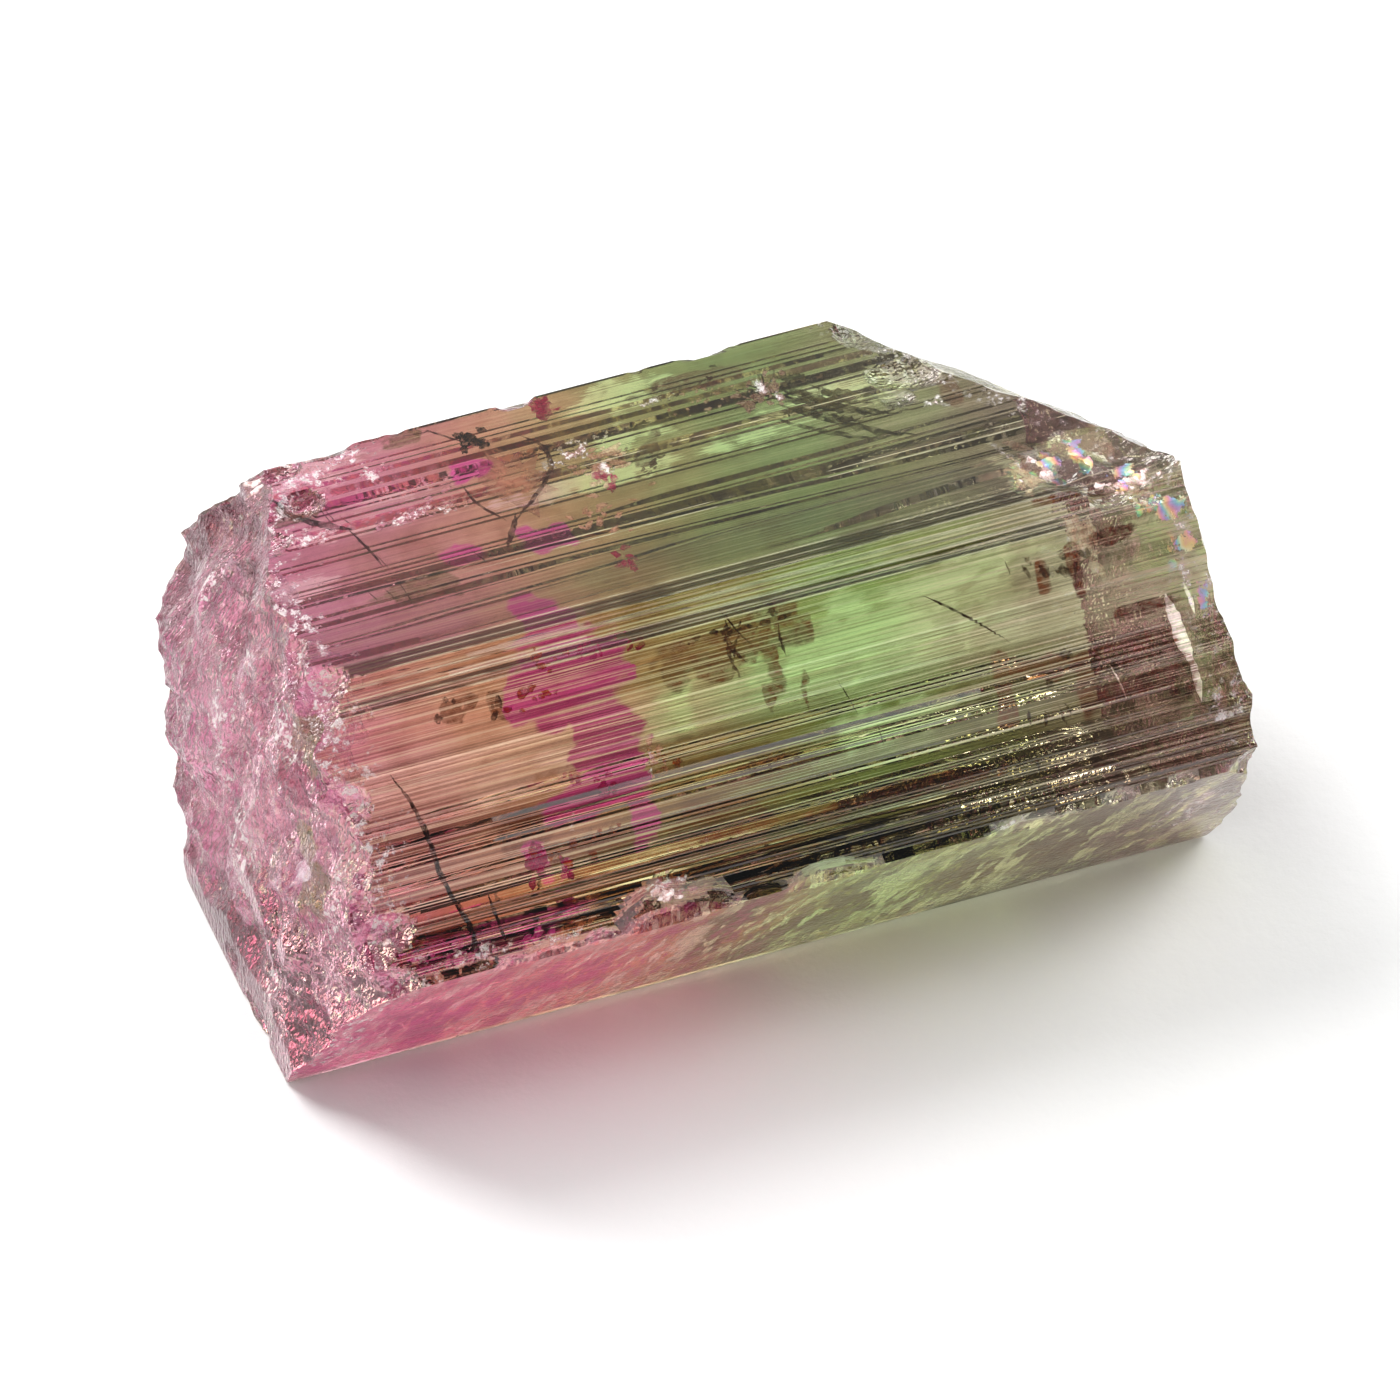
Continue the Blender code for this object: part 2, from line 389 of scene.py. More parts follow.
def side_faces(rows):
    """The faces between each ring of points and the next."""
    count = len(rows[0])
    after = [(j + 1) % count for j in range(count)]
    faces = []
    for here in range(0, count * (len(rows) - 1), count):
        there = here + count
        faces += [(here + j, there + j, there + after[j], here + after[j]) for j in range(count)]
    return faces


def caps(rows):
    """The two breaks: their inner points, and the triangles that join them to the first and last rings."""
    count = len(rows[0])
    total = count * len(rows)
    points, triangles = [], []
    for end, ring, rim_start in ((LEFT_BREAK, rows[0], 0), (RIGHT_BREAK, rows[-1], total - count)):
        inner, net = cap_net(ring[:, 1:], int(end.seed * 100))
        for face in net:
            face = [corner + rim_start if corner < count else corner - count + total for corner in face]
            triangles.append(face if end is LEFT_BREAK else face[::-1])
        points.append(np.column_stack((break_surface(inner, end), inner)))
        total += len(inner)
    return points, triangles


def blot_field(first, second, wanted):
    """How far inside the nearest blot each place is: 1 in its middle and 0 at its edge."""
    field = np.full(len(first), OUTSIDE)
    for blot in wanted:
        across_it = second - blot.second
        along_it = first - blot.first - blot.lean * across_it
        reach = (abs(along_it / blot.length) ** 3 + abs(across_it / blot.width) ** 3) ** (1 / 3)
        field = np.maximum(field, 1.0 - reach)
    return field


def rough_noise(spots, scale, octaves, seed):
    """Noise at each spot, with a mean of 0 and a spread of 1."""
    offset = Vector((seed, 0.0, 0.0))
    values = np.array([noise.fractal(Vector(spot) * scale + offset, 0.6, 2.0, octaves) for spot in spots])
    return (values - values.mean()) / values.std()


def clouds(moved, distances):
    """The slow changes of colour over the skin. On the lower front face they lean and are drawn out."""
    x = moved[:, 0]
    spots = moved.copy()
    bevel = (distances > 0.0) & (distances < FACES[0].width)
    leaning = np.column_stack((x - GRAIN_LEAN * distances, 0.3 * distances, np.full(len(x), 40.0)))
    spots[bevel] = leaning[bevel]
    streaks = np.column_stack((x * 0.35, distances * 2.4, np.zeros(len(x))))
    broad = np.column_stack((x * 0.04, distances * 1.3, np.zeros(len(x))))
    return {
        "zone": x + 0.55 * rough_noise(spots, 0.35, 4, 1.0),
        "ragged": 0.2 * rough_noise(spots, 1.1, 5, 20.0) + 0.1 * rough_noise(streaks, 1.0, 2, 30.0),
        "cloud": rough_noise(spots, 0.55, 5, 50.0),
        # The broad noise places the darker panels of painted shade.
        "broad": rough_noise(broad, 1.0, 2, 70.0),
    }


def add_bake_map(mesh, moved, distances):
    """Lays the sides, which are quads, out flat, and the two breaks, which are triangles, beside them."""
    corners = np.zeros(len(mesh.loops), dtype=np.int32)
    mesh.loops.foreach_get("vertex_index", corners)
    sizes = np.zeros(len(mesh.polygons), dtype=np.int32)
    mesh.polygons.foreach_get("loop_total", sizes)
    side = np.repeat(sizes == 4, sizes)
    round_it = distances[corners]
    farthest = np.repeat(np.maximum.reduceat(round_it, np.cumsum(sizes) - sizes), sizes)
    perimeter = distances.max()
    round_it = np.where(farthest - round_it > perimeter / 2, round_it + perimeter, round_it)
    spots = moved[corners]
    flat_x, flat_y, flat_z = (BAKE_SCALE * (spots - spots.min(axis=0))).T
    cap_starts = np.where(spots[:, 0] < 0, 0.0, BAKE_RIGHT_CAP_FROM)
    places = np.column_stack((np.where(side, flat_x, BAKE_CAPS_FROM + flat_y),
                              np.where(side, BAKE_SCALE * round_it, cap_starts + flat_z)))
    mesh.uv_layers.new(name="OFBake").data.foreach_set("uv", places.astype(np.float32).ravel())


def blend(share, first, second):
    """Colours between two others, where share runs from 0 to 1."""
    return first + (np.asarray(second) - first) * np.asarray(share)[:, None]


def colour_curve(places, stops):
    """Colours at these places, from (place, colour) stops."""
    at = [stop[0] for stop in stops]
    return np.column_stack([np.interp(places, at, [stop[1][i] for stop in stops]) for i in range(3)])


def washed(wash, x, around):
    """How strong a wash of colour is at each place."""
    return np.interp(x, wash.x, wash.x_levels) * np.interp(around, wash.around, wash.around_levels)


def zone_colours(moved, around, cloud, zone):
    """The growth zones' colours along the crystal, mottled, and lighter on the face that it rests on. Bands
    of painted shade and a band of painted light lie across the front.
    """
    x = moved[:, 0]
    places, *sides = zip(*ZONES)
    front, top, bevel, back = (colour_curve(zone, list(zip(places, side))) for side in sides)
    # Painted shade: dark bands across the front, and an orange tint instead at the low left.
    front = front * blend(washed(LOW_WASH, x, around), colour_curve(around, DARK_BELT), LOW_ORANGE)
    # Painted light: a paler band across the front.
    pale = blend(np.interp(x, PALE_TURN, (0.0, 1.0)), np.array(PALE_ORANGE), PALE_GREEN)
    front = blend(np.interp(around, *zip(*PALE_BELT)), front, pale)
    faces = (around <= FACES[0].width, around <= FRONT_TOP, around <= TOP_BACK)
    colour = np.select([here[:, None] for here in faces], [bevel, front, top], back)
    colour = np.where((around < -0.5)[:, None], top, colour)
    mottle = np.clip((cloud + 0.3) / 2.5, 0.0, 1.0)
    mottle = MOTTLE_STRENGTH * mottle ** 2 * (3 - 2 * mottle)
    colour = blend(mottle, colour, colour * MOTTLE)
    colour = blend(washed(MAUVE_WASH, x, around) * faces[2], colour, TOP_MAUVE)
    colour = blend(washed(FAR_WASH, x, around), colour, colour * FAR_TOP)
    on_rest = around > sum(face_widths()) - REST_FACE.width
    return blend(REST_STRENGTH * on_rest, colour, REST_TINT)


def skin_marks(moved, distances, on_break, chips, reach):
    """What the material reads at each point: its distance round, how broken it is, its blots and clouds."""
    at_left = moved[:, 0] < 0
    marks = {"around": distances, "broken": np.where(on_break, 1.0, chips), "left": at_left.astype(float)}
    for kind, wanted in BLOTS.items():
        on_cap = blot_field(moved[:, 1], moved[:, 2], CAP_BLOTS.get(kind, ()))
        on_cap = np.where(at_left, on_cap, OUTSIDE)
        marks[kind] = np.where(on_break, on_cap, blot_field(moved[:, 0], distances, wanted))
    # Frost creeps in from both breaks.
    creep = np.maximum(FROST_LEFT - reach / FROST_REACH, FROST_RIGHT - (reach.max() - reach) / FROST_REACH)
    marks["frost"][:len(reach)] = np.maximum(marks["frost"][:len(reach)], creep)
    marks.update(clouds(moved, distances))
    return marks


def crystal_mesh():
    """The crystal's skin: rings of points from break to break, closed by the two caps."""
    flat, looks, arounds, offsets, lined = section()
    rows = side_points(flat, looks, arounds, offsets)
    cap_points, triangles = caps(rows)
    points, chips = chipped(np.concatenate((*rows, *cap_points)))
    low, high = (np.array(corner) / MM for corner in CAD_BOX)
    moved = np.column_stack((points[:, 0] - ORIGIN_ALONG, ORIGIN_FRONT - points[:, 1], points[:, 2]))
    moved = np.clip(moved, low + BOX_MARGIN * np.array((1, 1, 0)), high - BOX_MARGIN)
    mesh = bpy.data.meshes.new("tourmaline_skin")
    mesh.from_pydata(moved * MM, [], side_faces(rows) + triangles)
    mesh.validate()
    side_total = len(flat) * len(rows)
    distances = np.full(len(moved), -1.0)
    distances[:side_total] = np.tile(arounds, len(rows))
    on_break = np.arange(len(moved)) >= side_total
    reach = np.repeat(stations(), len(flat)) * (rows[-1][:, 0] - rows[0][:, 0]).mean()
    marks = skin_marks(moved, distances, on_break, chips, reach)
    zones = zone_colours(moved, distances, marks["cloud"], marks.pop("zone"))
    zones = np.column_stack((zones, np.ones(len(moved)))).astype(np.float32)
    mesh.attributes.new("zones", "FLOAT_COLOR", "POINT").data.foreach_set("color", zones.ravel())
    for name, numbers in marks.items():
        mesh.attributes.new(name, "FLOAT", "POINT").data.foreach_set("value", numbers.astype(np.float32))
    add_bake_map(mesh, moved, distances)
    # Each side face belongs to the step that ends at its second point.
    line_faces = np.concatenate((np.tile(np.roll(lined, -1), len(rows) - 1), np.zeros(len(triangles))))
    mesh.attributes.new("line", "FLOAT", "FACE").data.foreach_set("value", line_faces.astype(float))
    return mesh


def add_object(name, data):
    obj = bpy.data.objects.new(name, data)
    bpy.context.scene.collection.objects.link(obj)
    return obj


def crystal():
    obj = add_object("tourmaline_skin", crystal_mesh())
    obj.data.shade_smooth()
    obj.data.set_sharp_from_angle(angle=math.radians(SHARP_ANGLE))
    obj.data.materials.append(tourmaline_material())
    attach(obj, "root")
    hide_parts("tourmaline_crystal")


# -------------------- materials

class Nodes:
    """Adds shader nodes to a material or a world and joins them. A value may be a number, a colour or a
    socket, and None leaves a socket as it is."""

    def __init__(self, owner, shader="Principled BSDF"):
        owner.use_nodes = True
        self.owner = owner
        self.tree = owner.node_tree
        self.shader = self.tree.nodes[shader]

    def put(self, socket, value):
        if isinstance(value, bpy.types.NodeSocket):
            self.tree.links.new(value, socket)
        elif value is not None:
            colour = socket.type == "RGBA"
            socket.default_value = (*value, 1.0) if colour else value

    def shade(self, **inputs):
        """Fills inputs of the shader, whose names are written with _ for a space."""
        for name, value in inputs.items():
            self.put(self.shader.inputs[name.replace("_", " ")], value)

    def node(self, kind, values=(), **settings):
        """Adds a node with these settings, and fills its inputs in order."""
        made = self.tree.nodes.new("ShaderNode" + kind)
        for name, setting in settings.items():
            setattr(made, name, setting)
        for socket, value in zip(made.inputs, values):
            self.put(socket, value)
        return made

    def math(self, operation, *values):
        return self.node("Math", values, operation=operation).outputs[0]

    def times(self, first, *others):
        for value in others:
            first = self.math("MULTIPLY", first, value)
        return first

    def most(self, first, *others):
        for value in others:
            first = self.math("MAXIMUM", first, value)
        return first

    def opposite(self, share):
        return self.math("SUBTRACT", 1.0, share)

    def stretched(self, vector, factors):
        return self.node("VectorMath", (vector, factors), operation="MULTIPLY").outputs[0]

    def join(self, *parts):
        return self.node("CombineXYZ", parts).outputs[0]

    def parts(self, vector):
        return self.node("SeparateXYZ", (vector,)).outputs

    def coordinates(self, kind):
        return self.node("TexCoord").outputs[kind]

    def millimetres(self):
        """The surface's place in the frame, in millimetres."""
        return self.stretched(self.coordinates("Object"), (1 / MM, 1 / MM, 1 / MM))

    def attribute(self, name, output="Fac"):
        return self.node("Attribute", attribute_name=name).outputs[output]

    def mix(self, factor, first, second, blend="MIX"):
        made = self.node("Mix", (factor,), data_type="RGBA", blend_type=blend)
        self.put(made.inputs[6], first)
        self.put(made.inputs[7], second)
        return made.outputs[2]

    def ramp(self, value, stops, interpolation="LINEAR"):
        """Colours or grey levels at places from 0 to 1."""
        made = self.node("ValToRGB", (value,))
        made.color_ramp.interpolation = interpolation
        points = made.color_ramp.elements
        while len(points) < len(stops):
            points.new(0.5)
        for point, (position, colour) in zip(points, stops):
            point.position = position
            point.color = (*colour, 1.0) if isinstance(colour, tuple) else (colour, colour, colour, 1.0)
        return made.outputs["Color"]

    def belt(self, around, levels, length):
        """A level at each distance round the section, up to this length."""
        stops = [(at / length, level) for at, level in levels]
        return self.ramp(self.math("DIVIDE", around, length), stops)

    def range(self, value, low, high, to_low=0.0, to_high=1.0, smooth=False):
        kind = "SMOOTHSTEP" if smooth else "LINEAR"
        values = (value, low, high, to_low, to_high)
        return self.node("MapRange", values, interpolation_type=kind).outputs[0]

    def noise(self, vector, scale, detail=2.0, roughness=0.5, dimensions="3D"):
        values = (vector, None, scale, detail, roughness)
        return self.node("TexNoise", values, noise_dimensions=dimensions).outputs["Fac"]

    def bump(self, height, distance, strength):
        self.shade(Normal=self.node("Bump", (strength, distance, None, height)).outputs[0])


# The colours that light takes on at each place along the crystal, from the pink end to the grey-brown one,
# through the front faces, the top, the lower front face and the back.
Zone = namedtuple("Zone", "x front top bevel back")
ZONES = (
    Zone(-15.8, (0.6, 0.12, 0.2), (0.5, 0.12, 0.3), (0.96, 0.13, 0.32), (0.8, 0.45, 0.55)),
    Zone(-12.5, (0.56, 0.155, 0.17), (0.5, 0.115, 0.26), (0.96, 0.12, 0.26), (0.78, 0.42, 0.5)),
    Zone(-9.5, (0.58, 0.225, 0.125), (0.42, 0.12, 0.17), (0.94, 0.12, 0.2), (0.78, 0.45, 0.42)),
    Zone(-6.0, (0.46, 0.155, 0.058), (0.47, 0.16, 0.12), (0.88, 0.125, 0.14), (0.75, 0.45, 0.32)),
    Zone(-3.8, (0.28, 0.11, 0.026), (0.38, 0.17, 0.075), (0.7, 0.13, 0.095), (0.66, 0.46, 0.28)),
    Zone(-1.0, (0.24, 0.135, 0.026), (0.21, 0.15, 0.05), (0.38, 0.135, 0.06), (0.5, 0.52, 0.24)),
    Zone(3.0, (0.2, 0.24, 0.042), (0.13, 0.125, 0.04), (0.42, 0.4, 0.1), (0.32, 0.6, 0.22)),
    Zone(6.0, (0.2, 0.28, 0.052), (0.14, 0.14, 0.046), (0.4, 0.38, 0.1), (0.34, 0.62, 0.24)),
    Zone(8.5, (0.21, 0.225, 0.07), (0.13, 0.12, 0.048), (0.26, 0.2, 0.09), (0.4, 0.5, 0.27)),
    Zone(11.0, (0.42, 0.42, 0.23), (0.1, 0.072, 0.04), (0.2, 0.13, 0.09), (0.42, 0.38, 0.28)),
    Zone(15.8, (0.8, 0.74, 0.52), (0.13, 0.085, 0.06), (0.26, 0.18, 0.14), (0.45, 0.38, 0.33)),
)
REST_TINT = (0.62, 0.62, 0.5)
REST_STRENGTH = 0.5

# Painted highlights, hair-thin bright lines along the crystal: the distances round the section that they
# lie between, the distance of each one, and how far its glow reaches.
BrightLines = namedtuple("BrightLines", "start end places reach")
RIDGE_LINES = BrightLines(17.3, 19.5, (17.48, 17.76, 18.0, 18.36, 18.72, 18.98, 19.26), 0.045)
TOP_LINES = BrightLines(21.7, 25.1, (21.85, 22.1, 24.95), 0.03)
# The colour of the painted highlight lines.
HIGHLIGHT_LINE_TINT = (0.85, 0.8, 0.55)

# The distances round the section where the front faces end and the top begins, and where the top ends.
FRONT_TOP = sum(face.width for face in FACES[:5])
TOP_BACK = FRONT_TOP + FACES[5].width

# Painted shade: how much darker and browner the front is at each distance round the section.
DARK_BELT = (
    (0.0, (1.0, 1.0, 1.0)), (8.3, (1.0, 1.0, 1.0)), (8.8, (0.12, 0.06, 0.04)), (10.2, (0.14, 0.08, 0.05)),
    (11.2, (0.55, 0.44, 0.34)), (13.6, (0.5, 0.42, 0.33)), (14.5, (0.95, 0.92, 0.85)),
    (17.3, (1.0, 1.0, 1.0)), (17.7, (0.65, 0.6, 0.5)), (18.6, (0.8, 0.75, 0.65)), (18.9, (1.0, 1.0, 1.0)),
)

# How much haze there is at the grey end, at each distance round the section.
HAZE_BELT = (
    (8.4, 0.0), (8.8, 0.2), (11.2, 0.25), (12.2, 0.25), (12.7, 0.05), (13.9, 0.05), (14.4, 0.35),
    (16.9, 0.35), (17.5, 0.1), (28.0, 0.1),
)

# Painted light: how much paler the front is at each distance round the section, and where along it the pale
# turns green.
PALE_BELT = ((14.0, 0.0), (14.6, 0.32), (15.4, 0.32), (16.1, 0.0))
PALE_TURN = (-4.0, -1.0)

# How strongly the painted shade and highlights of the growth lines show at each distance round the section,
# which is read up to a length.
STRIPE_LENGTH = 54.0
STRIPE_BELT = (
    (0.0, 0.0), (8.37, 0.0), (8.91, 1.0), (14.58, 1.0), (15.66, 0.85), (17.01, 0.75), (17.55, 0.9),
    (18.63, 0.7), (19.44, 0.45), (21.06, 0.25), (27.0, 0.2),
)

# Blots of another colour on the sides: a middle (x, around), how far each reaches along and around, and how
# much it leans. On the breaks the middle is (y, z). A place that no blot can reach counts as well outside.
Blot = namedtuple("Blot", "first second length width lean", defaults=(0.0,))
OUTSIDE = -2.0


def blots(*rows):
    return [Blot(*row) for row in rows]


BLOTS = {
    "magenta": blots(
        (-5.9, 17.0, 2.0, 1.7, -0.2), (-6.2, 18.9, 0.9, 1.5, -0.3), (-5.4, 15.4, 1.3, 1.0),
        (-5.2, 13.9, 1.3, 1.3, -0.3), (-6.6, 13.0, 1.4, 0.6), (-4.7, 11.9, 0.5, 1.2),
        (-8.3, 11.4, 0.35, 1.0, -0.3), (-7.4, 11.0, 0.25, 0.4), (-7.9, 16.7, 0.5, 0.9),
        (-10.5, 9.3, 3.2, 0.7), (-4.9, 22.4, 1.0, 0.7), (-2.6, 21.1, 0.6, 0.35),
        (-3.1, 28.6, 0.5, 1.1, -0.4), (-6.2, 26.0, 0.7, 0.5), (-3.3, 26.0, 0.3, 0.5),
        (-7.7, 22.6, 0.7, 0.5),
    ),
    "brown": blots(
        (-8.5, 16.7, 0.32, 0.45), (-10.1, 16.9, 0.35, 0.38), (-9.4, 17.0, 0.18, 0.22),
        (-2.2, 16.8, 1.3, 0.5), (-0.6, 16.7, 1.0, 0.55), (0.35, 15.9, 0.26, 1.5), (1.1, 16.9, 0.45, 0.7),
        (1.7, 16.6, 0.2, 0.5), (-1.5, 16.1, 0.6, 0.6), (-2.9, 16.2, 0.4, 0.6), (0.0, 14.6, 0.2, 0.7),
        (1.2, 14.6, 0.12, 0.8), (-6.4, 11.2, 2.2, 0.75), (-8.6, 12.6, 0.9, 0.55), (-2.6, 11.0, 1.7, 1.0),
        (-2.2, 9.6, 2.6, 0.55), (-0.6, 12.5, 1.5, 0.35), (3.5, 10.6, 3.0, 0.3), (7.5, 12.8, 0.3, 1.2),
        (8.9, 13.4, 1.0, 0.35), (10.2, 12.3, 0.35, 1.1), (11.6, 13.2, 1.8, 0.45), (12.3, 11.9, 2.0, 0.35),
        (12.6, 14.4, 1.0, 0.25), (13.4, 12.0, 0.5, 0.9), (9.5, 16.2, 0.25, 0.7), (10.6, 16.2, 0.25, 0.8),
        (12.0, 16.9, 0.8, 0.25), (-9.5, 21.6, 1.2, 0.5), (1.6, 27.3, 1.7, 0.35),
        (-0.7, 24.9, 0.35, 0.6, 0.5), (-12.1, 26.2, 0.7, 0.5), (-7.8, 28.0, 0.6, 0.3),
        (9.2, 24.0, 0.3, 0.6), (11.2, 18.6, 1.3, 0.35), (-2.1, 5.2, 0.9, 3.0, 0.2),
        (-0.6, 1.6, 0.8, 1.2, 0.3), (0.8, 3.2, 0.9, 1.0, 0.35), (2.2, 4.2, 1.0, 0.8, 0.3),
        (3.8, 3.0, 1.0, 0.7), (4.7, 1.8, 0.7, 1.2, 0.3), (6.9, 3.4, 0.8, 1.5, 0.3),
        (8.3, 5.0, 0.9, 1.6, 0.3), (10.2, 4.6, 0.7, 2.2, 0.3),
    ),
    "window": blots(
        (-2.4, 24.15, 2.5, 0.42, 0.5), (2.7, 24.4, 1.6, 0.38, 0.5), (-1.3, 25.5, 1.1, 0.6, 0.3),
        (-0.6, 27.6, 1.2, 0.6, 0.3), (-10.8, 24.9, 1.8, 0.32, 0.3), (-11.6, 27.5, 2.2, 0.6, 0.3),
        (-8.9, 25.8, 1.3, 0.3, 0.3), (-12.9, 22.8, 0.8, 0.5), (-0.4, 27.2, 1.4, 0.25),
        (6.2, 25.3, 2.0, 0.55, 0.5), (3.4, 15.9, 3.6, 1.1), (6.3, 16.6, 2.4, 0.8), (-9.4, 14.2, 1.6, 0.5),
        (-6.9, 14.6, 0.8, 0.45), (-3.0, 15.2, 0.9, 0.8), (4.0, 12.9, 2.2, 0.6), (8.0, 17.2, 2.4, 0.3),
        (3.4, 6.2, 1.8, 1.4, 0.3), (6.0, 6.6, 1.0, 1.2, 0.3), (1.4, 1.0, 1.8, 0.7), (7.0, 0.9, 2.6, 0.6),
        (10.0, 20.0, 0.5, 1.0, -0.4), (12.4, 20.6, 1.2, 0.5), (13.5, 16.6, 1.2, 1.2),
        (13.8, 12.9, 0.6, 2.2),
    ),
    "frost": blots(
        (-11.7, 27.4, 1.9, 0.6, 0.3), (-9.9, 27.9, 1.2, 0.4), (-9.2, 26.9, 0.5, 0.4),
        (-8.6, 24.7, 1.4, 0.28), (-12.0, 24.9, 1.2, 0.22), (-2.9, 25.6, 0.9, 0.5, 1.0),
        (-2.2, 24.6, 0.3, 0.3), (0.1, 26.9, 0.9, 0.2, 2.0), (3.75, 26.3, 0.35, 0.45),
        (4.1, 25.7, 0.25, 0.3), (-4.35, 9.5, 0.75, 0.45), (-8.0, 8.7, 0.9, 0.3), (-10.7, 8.9, 1.1, 0.4),
        (-6.0, 8.4, 0.3, 0.15), (-4.1, 13.7, 0.22, 0.5), (-7.0, 12.4, 0.15, 0.4), (14.1, 15.0, 0.22, 1.0),
        (14.4, 10.6, 0.2, 1.2), (14.2, 5.0, 0.4, 3.0, 0.1), (13.2, 5.0, 0.2, 2.4, 0.1),
        (-4.3, 2.4, 0.14, 0.7), (10.0, 20.6, 0.16, 0.8, -0.5), (12.9, 20.7, 1.0, 0.22, 1.0),
        (13.6, 18.9, 0.5, 0.3), (14.2, 16.9, 0.35, 0.6), (11.1, 16.3, 0.12, 0.9, -0.5),
        (8.6, 23.8, 0.4, 0.3), (9.6, 24.6, 0.6, 0.3), (7.2, 8.5, 0.7, 0.25),
    ),
    "rainbow": blots(
        (11.0, 20.2, 0.4, 0.28), (12.1, 20.5, 0.3, 0.55), (13.2, 19.2, 0.5, 0.35),
        (14.1, 17.3, 0.55, 0.5), (14.3, 16.1, 0.45, 0.35), (14.5, 14.3, 0.2, 0.6),
    ),
}
CAP_BLOTS = {
    "brown": blots((-4.7, 10.4, 0.8, 0.8), (-5.9, 9.0, 0.7, 1.0), (-4.4, 13.9, 0.9, 0.7)),
    "magenta": blots(
        (8.2, 11.4, 0.9, 1.6), (8.3, 5.0, 0.9, 2.2), (6.8, 2.4, 1.3, 1.4), (5.0, 0.8, 1.6, 0.9),
        (-4.4, 12.4, 0.8, 1.0), (8.6, 8.0, 0.8, 3.6), (2.5, 13.4, 1.6, 1.2), (-1.5, 1.6, 3.0, 1.2),
        (-6.0, 3.0, 1.2, 1.8), (6.0, 3.0, 1.8, 2.0),
    ),
    "frost": blots(
        # The first of these is a painted highlight, a white glint on the left break; the others are frosted
        # spots.
        (5.7, 11.5, 0.7, 1.0), (0.5, 13.0, 0.7, 0.35), (-3.4, 2.6, 0.5, 2.6, 0.3),
        (2.0, 8.5, 1.0, 2.4, 0.2), (-3.4, 13.6, 1.2, 0.8), (-6.9, 9.5, 0.5, 2.4), (-1.0, 6.0, 1.4, 2.4),
    ),
}
# How strong the frost is along the edges of the two breaks, and how far in it creeps.
FROST_LEFT = 0.55
FROST_RIGHT = 0.35
FROST_REACH = 2.4

# The tints of the blots: on the top, on the front faces, and on the breaks.
MAGENTA = (0.55, 0.01, 0.26)
FRONT_MAGENTA = (0.35, 0.002, 0.1)
BREAK_MAUVE = (0.24, 0.02, 0.07)
MAGENTA_END = -4.15
BROWN = (0.075, 0.028, 0.012)
FRONT_BROWN = (0.08, 0.0115, 0.0022)
BREAK_BROWN = (0.2, 0.11, 0.05)
WINDOW = (0.9, 0.95, 0.45)
FRONT_WINDOW = (0.66, 0.82, 0.32)
PINK_WINDOW = (0.74, 0.42, 0.3)
TOP_PINK_WINDOW = (0.92, 0.52, 0.7)
FROST = (0.88, 0.66, 0.7)
# The pink and white frost tints also paint a highlight on the left break.
PINK_FROST_AND_HIGHLIGHT = (0.8, 0.36, 0.5)
WHITE_FROST_AND_HIGHLIGHT = (0.96, 0.9, 0.9)

# Tints that the zones are mixed with or multiplied by.
TOP_MAUVE = (0.54, 0.14, 0.33)
LOW_ORANGE = (1.0, 0.45, 0.1)
PALE_ORANGE = (0.9, 0.62, 0.42)
PALE_GREEN = (0.85, 0.92, 0.5)
MOTTLE = (0.55, 0.38, 0.3)
MOTTLE_STRENGTH = 0.6
FAR_TOP = (0.7, 0.34, 0.4)

# Where three of them lie: how strong each is from one place along the crystal to another, and from one
# distance round to another.
Wash = namedtuple("Wash", "x x_levels around around_levels")
LOW_WASH = Wash((-6.0, 1.0), (0.35, 0.0), (9.9, 10.9), (1.0, 0.0))
MAUVE_WASH = Wash((-8.8, -6.4), (1.0, 0.0), (24.0, 25.2), (0.0, 0.75))
FAR_WASH = Wash((-9.0, -3.0), (0.3, 0.05), (26.3, 27.6), (0.0, 1.0))

# The left break's pinks and the right one's greys.
DEEP_PINK = (0.35, 0.022, 0.13)
PALE_PINK = (0.74, 0.24, 0.44)
VEIN_PINK = (0.22, 0.01, 0.05)
SPECK_PINK = (0.92, 0.6, 0.68)
BREAK_GREY = (0.54, 0.5, 0.38)
PALE_GREY = (0.78, 0.74, 0.62)
VEIN_GREY = (0.16, 0.11, 0.09)

# Painted shade and highlights along the growth lines: their darker panels and their dark and pale hair
# lines.
PANEL_SHADE = (0.22, 0.14, 0.08)
HAIR_SHADE = (0.2, 0.11, 0.06)
HAIR_LIGHT = (0.8, 0.66, 0.4)

# The clouding of the lower front face, at its pink end and at its green end.
BEVEL_DARK = ((0.46, 0.012, 0.12), (0.11, 0.06, 0.04))
BEVEL_PALE = ((1.0, 0.42, 0.5), (0.85, 0.88, 0.36))
BEVEL_VEIN = ((0.2, 0.004, 0.05), (0.08, 0.035, 0.025))

# The spectrum of a thin film, through one turn.
FILM_TURNS = 1.4
SPECTRUM = (
    (0.0, (0.98, 0.7, 0.3)), (0.18, (0.95, 0.4, 0.45)), (0.36, (0.62, 0.4, 0.8)),
    (0.55, (0.3, 0.62, 0.9)), (0.72, (0.45, 0.85, 0.55)), (0.86, (0.97, 0.93, 0.6)),
    (1.0, (0.98, 0.7, 0.3)),
)

REFRACTION = 1.63
BODY_TINT = (0.76, 0.76, 0.66)
BODY_DENSITY = 18.0

# How fine the hair lines and the lower front face's grain are, along the crystal and round it.
LINE_SCALE = (0.05, 13.0)
GRAIN_SCALE = (2.2, 0.7)
GRAIN_LEAN = 0.25

# The hackle: fine ridges on the breaks and on the chips.
HACKLE_STRETCH = (1.0, 1.6, 0.7)
HACKLE_SCALE = 3.8
HACKLE_DEPTH = 0.00016


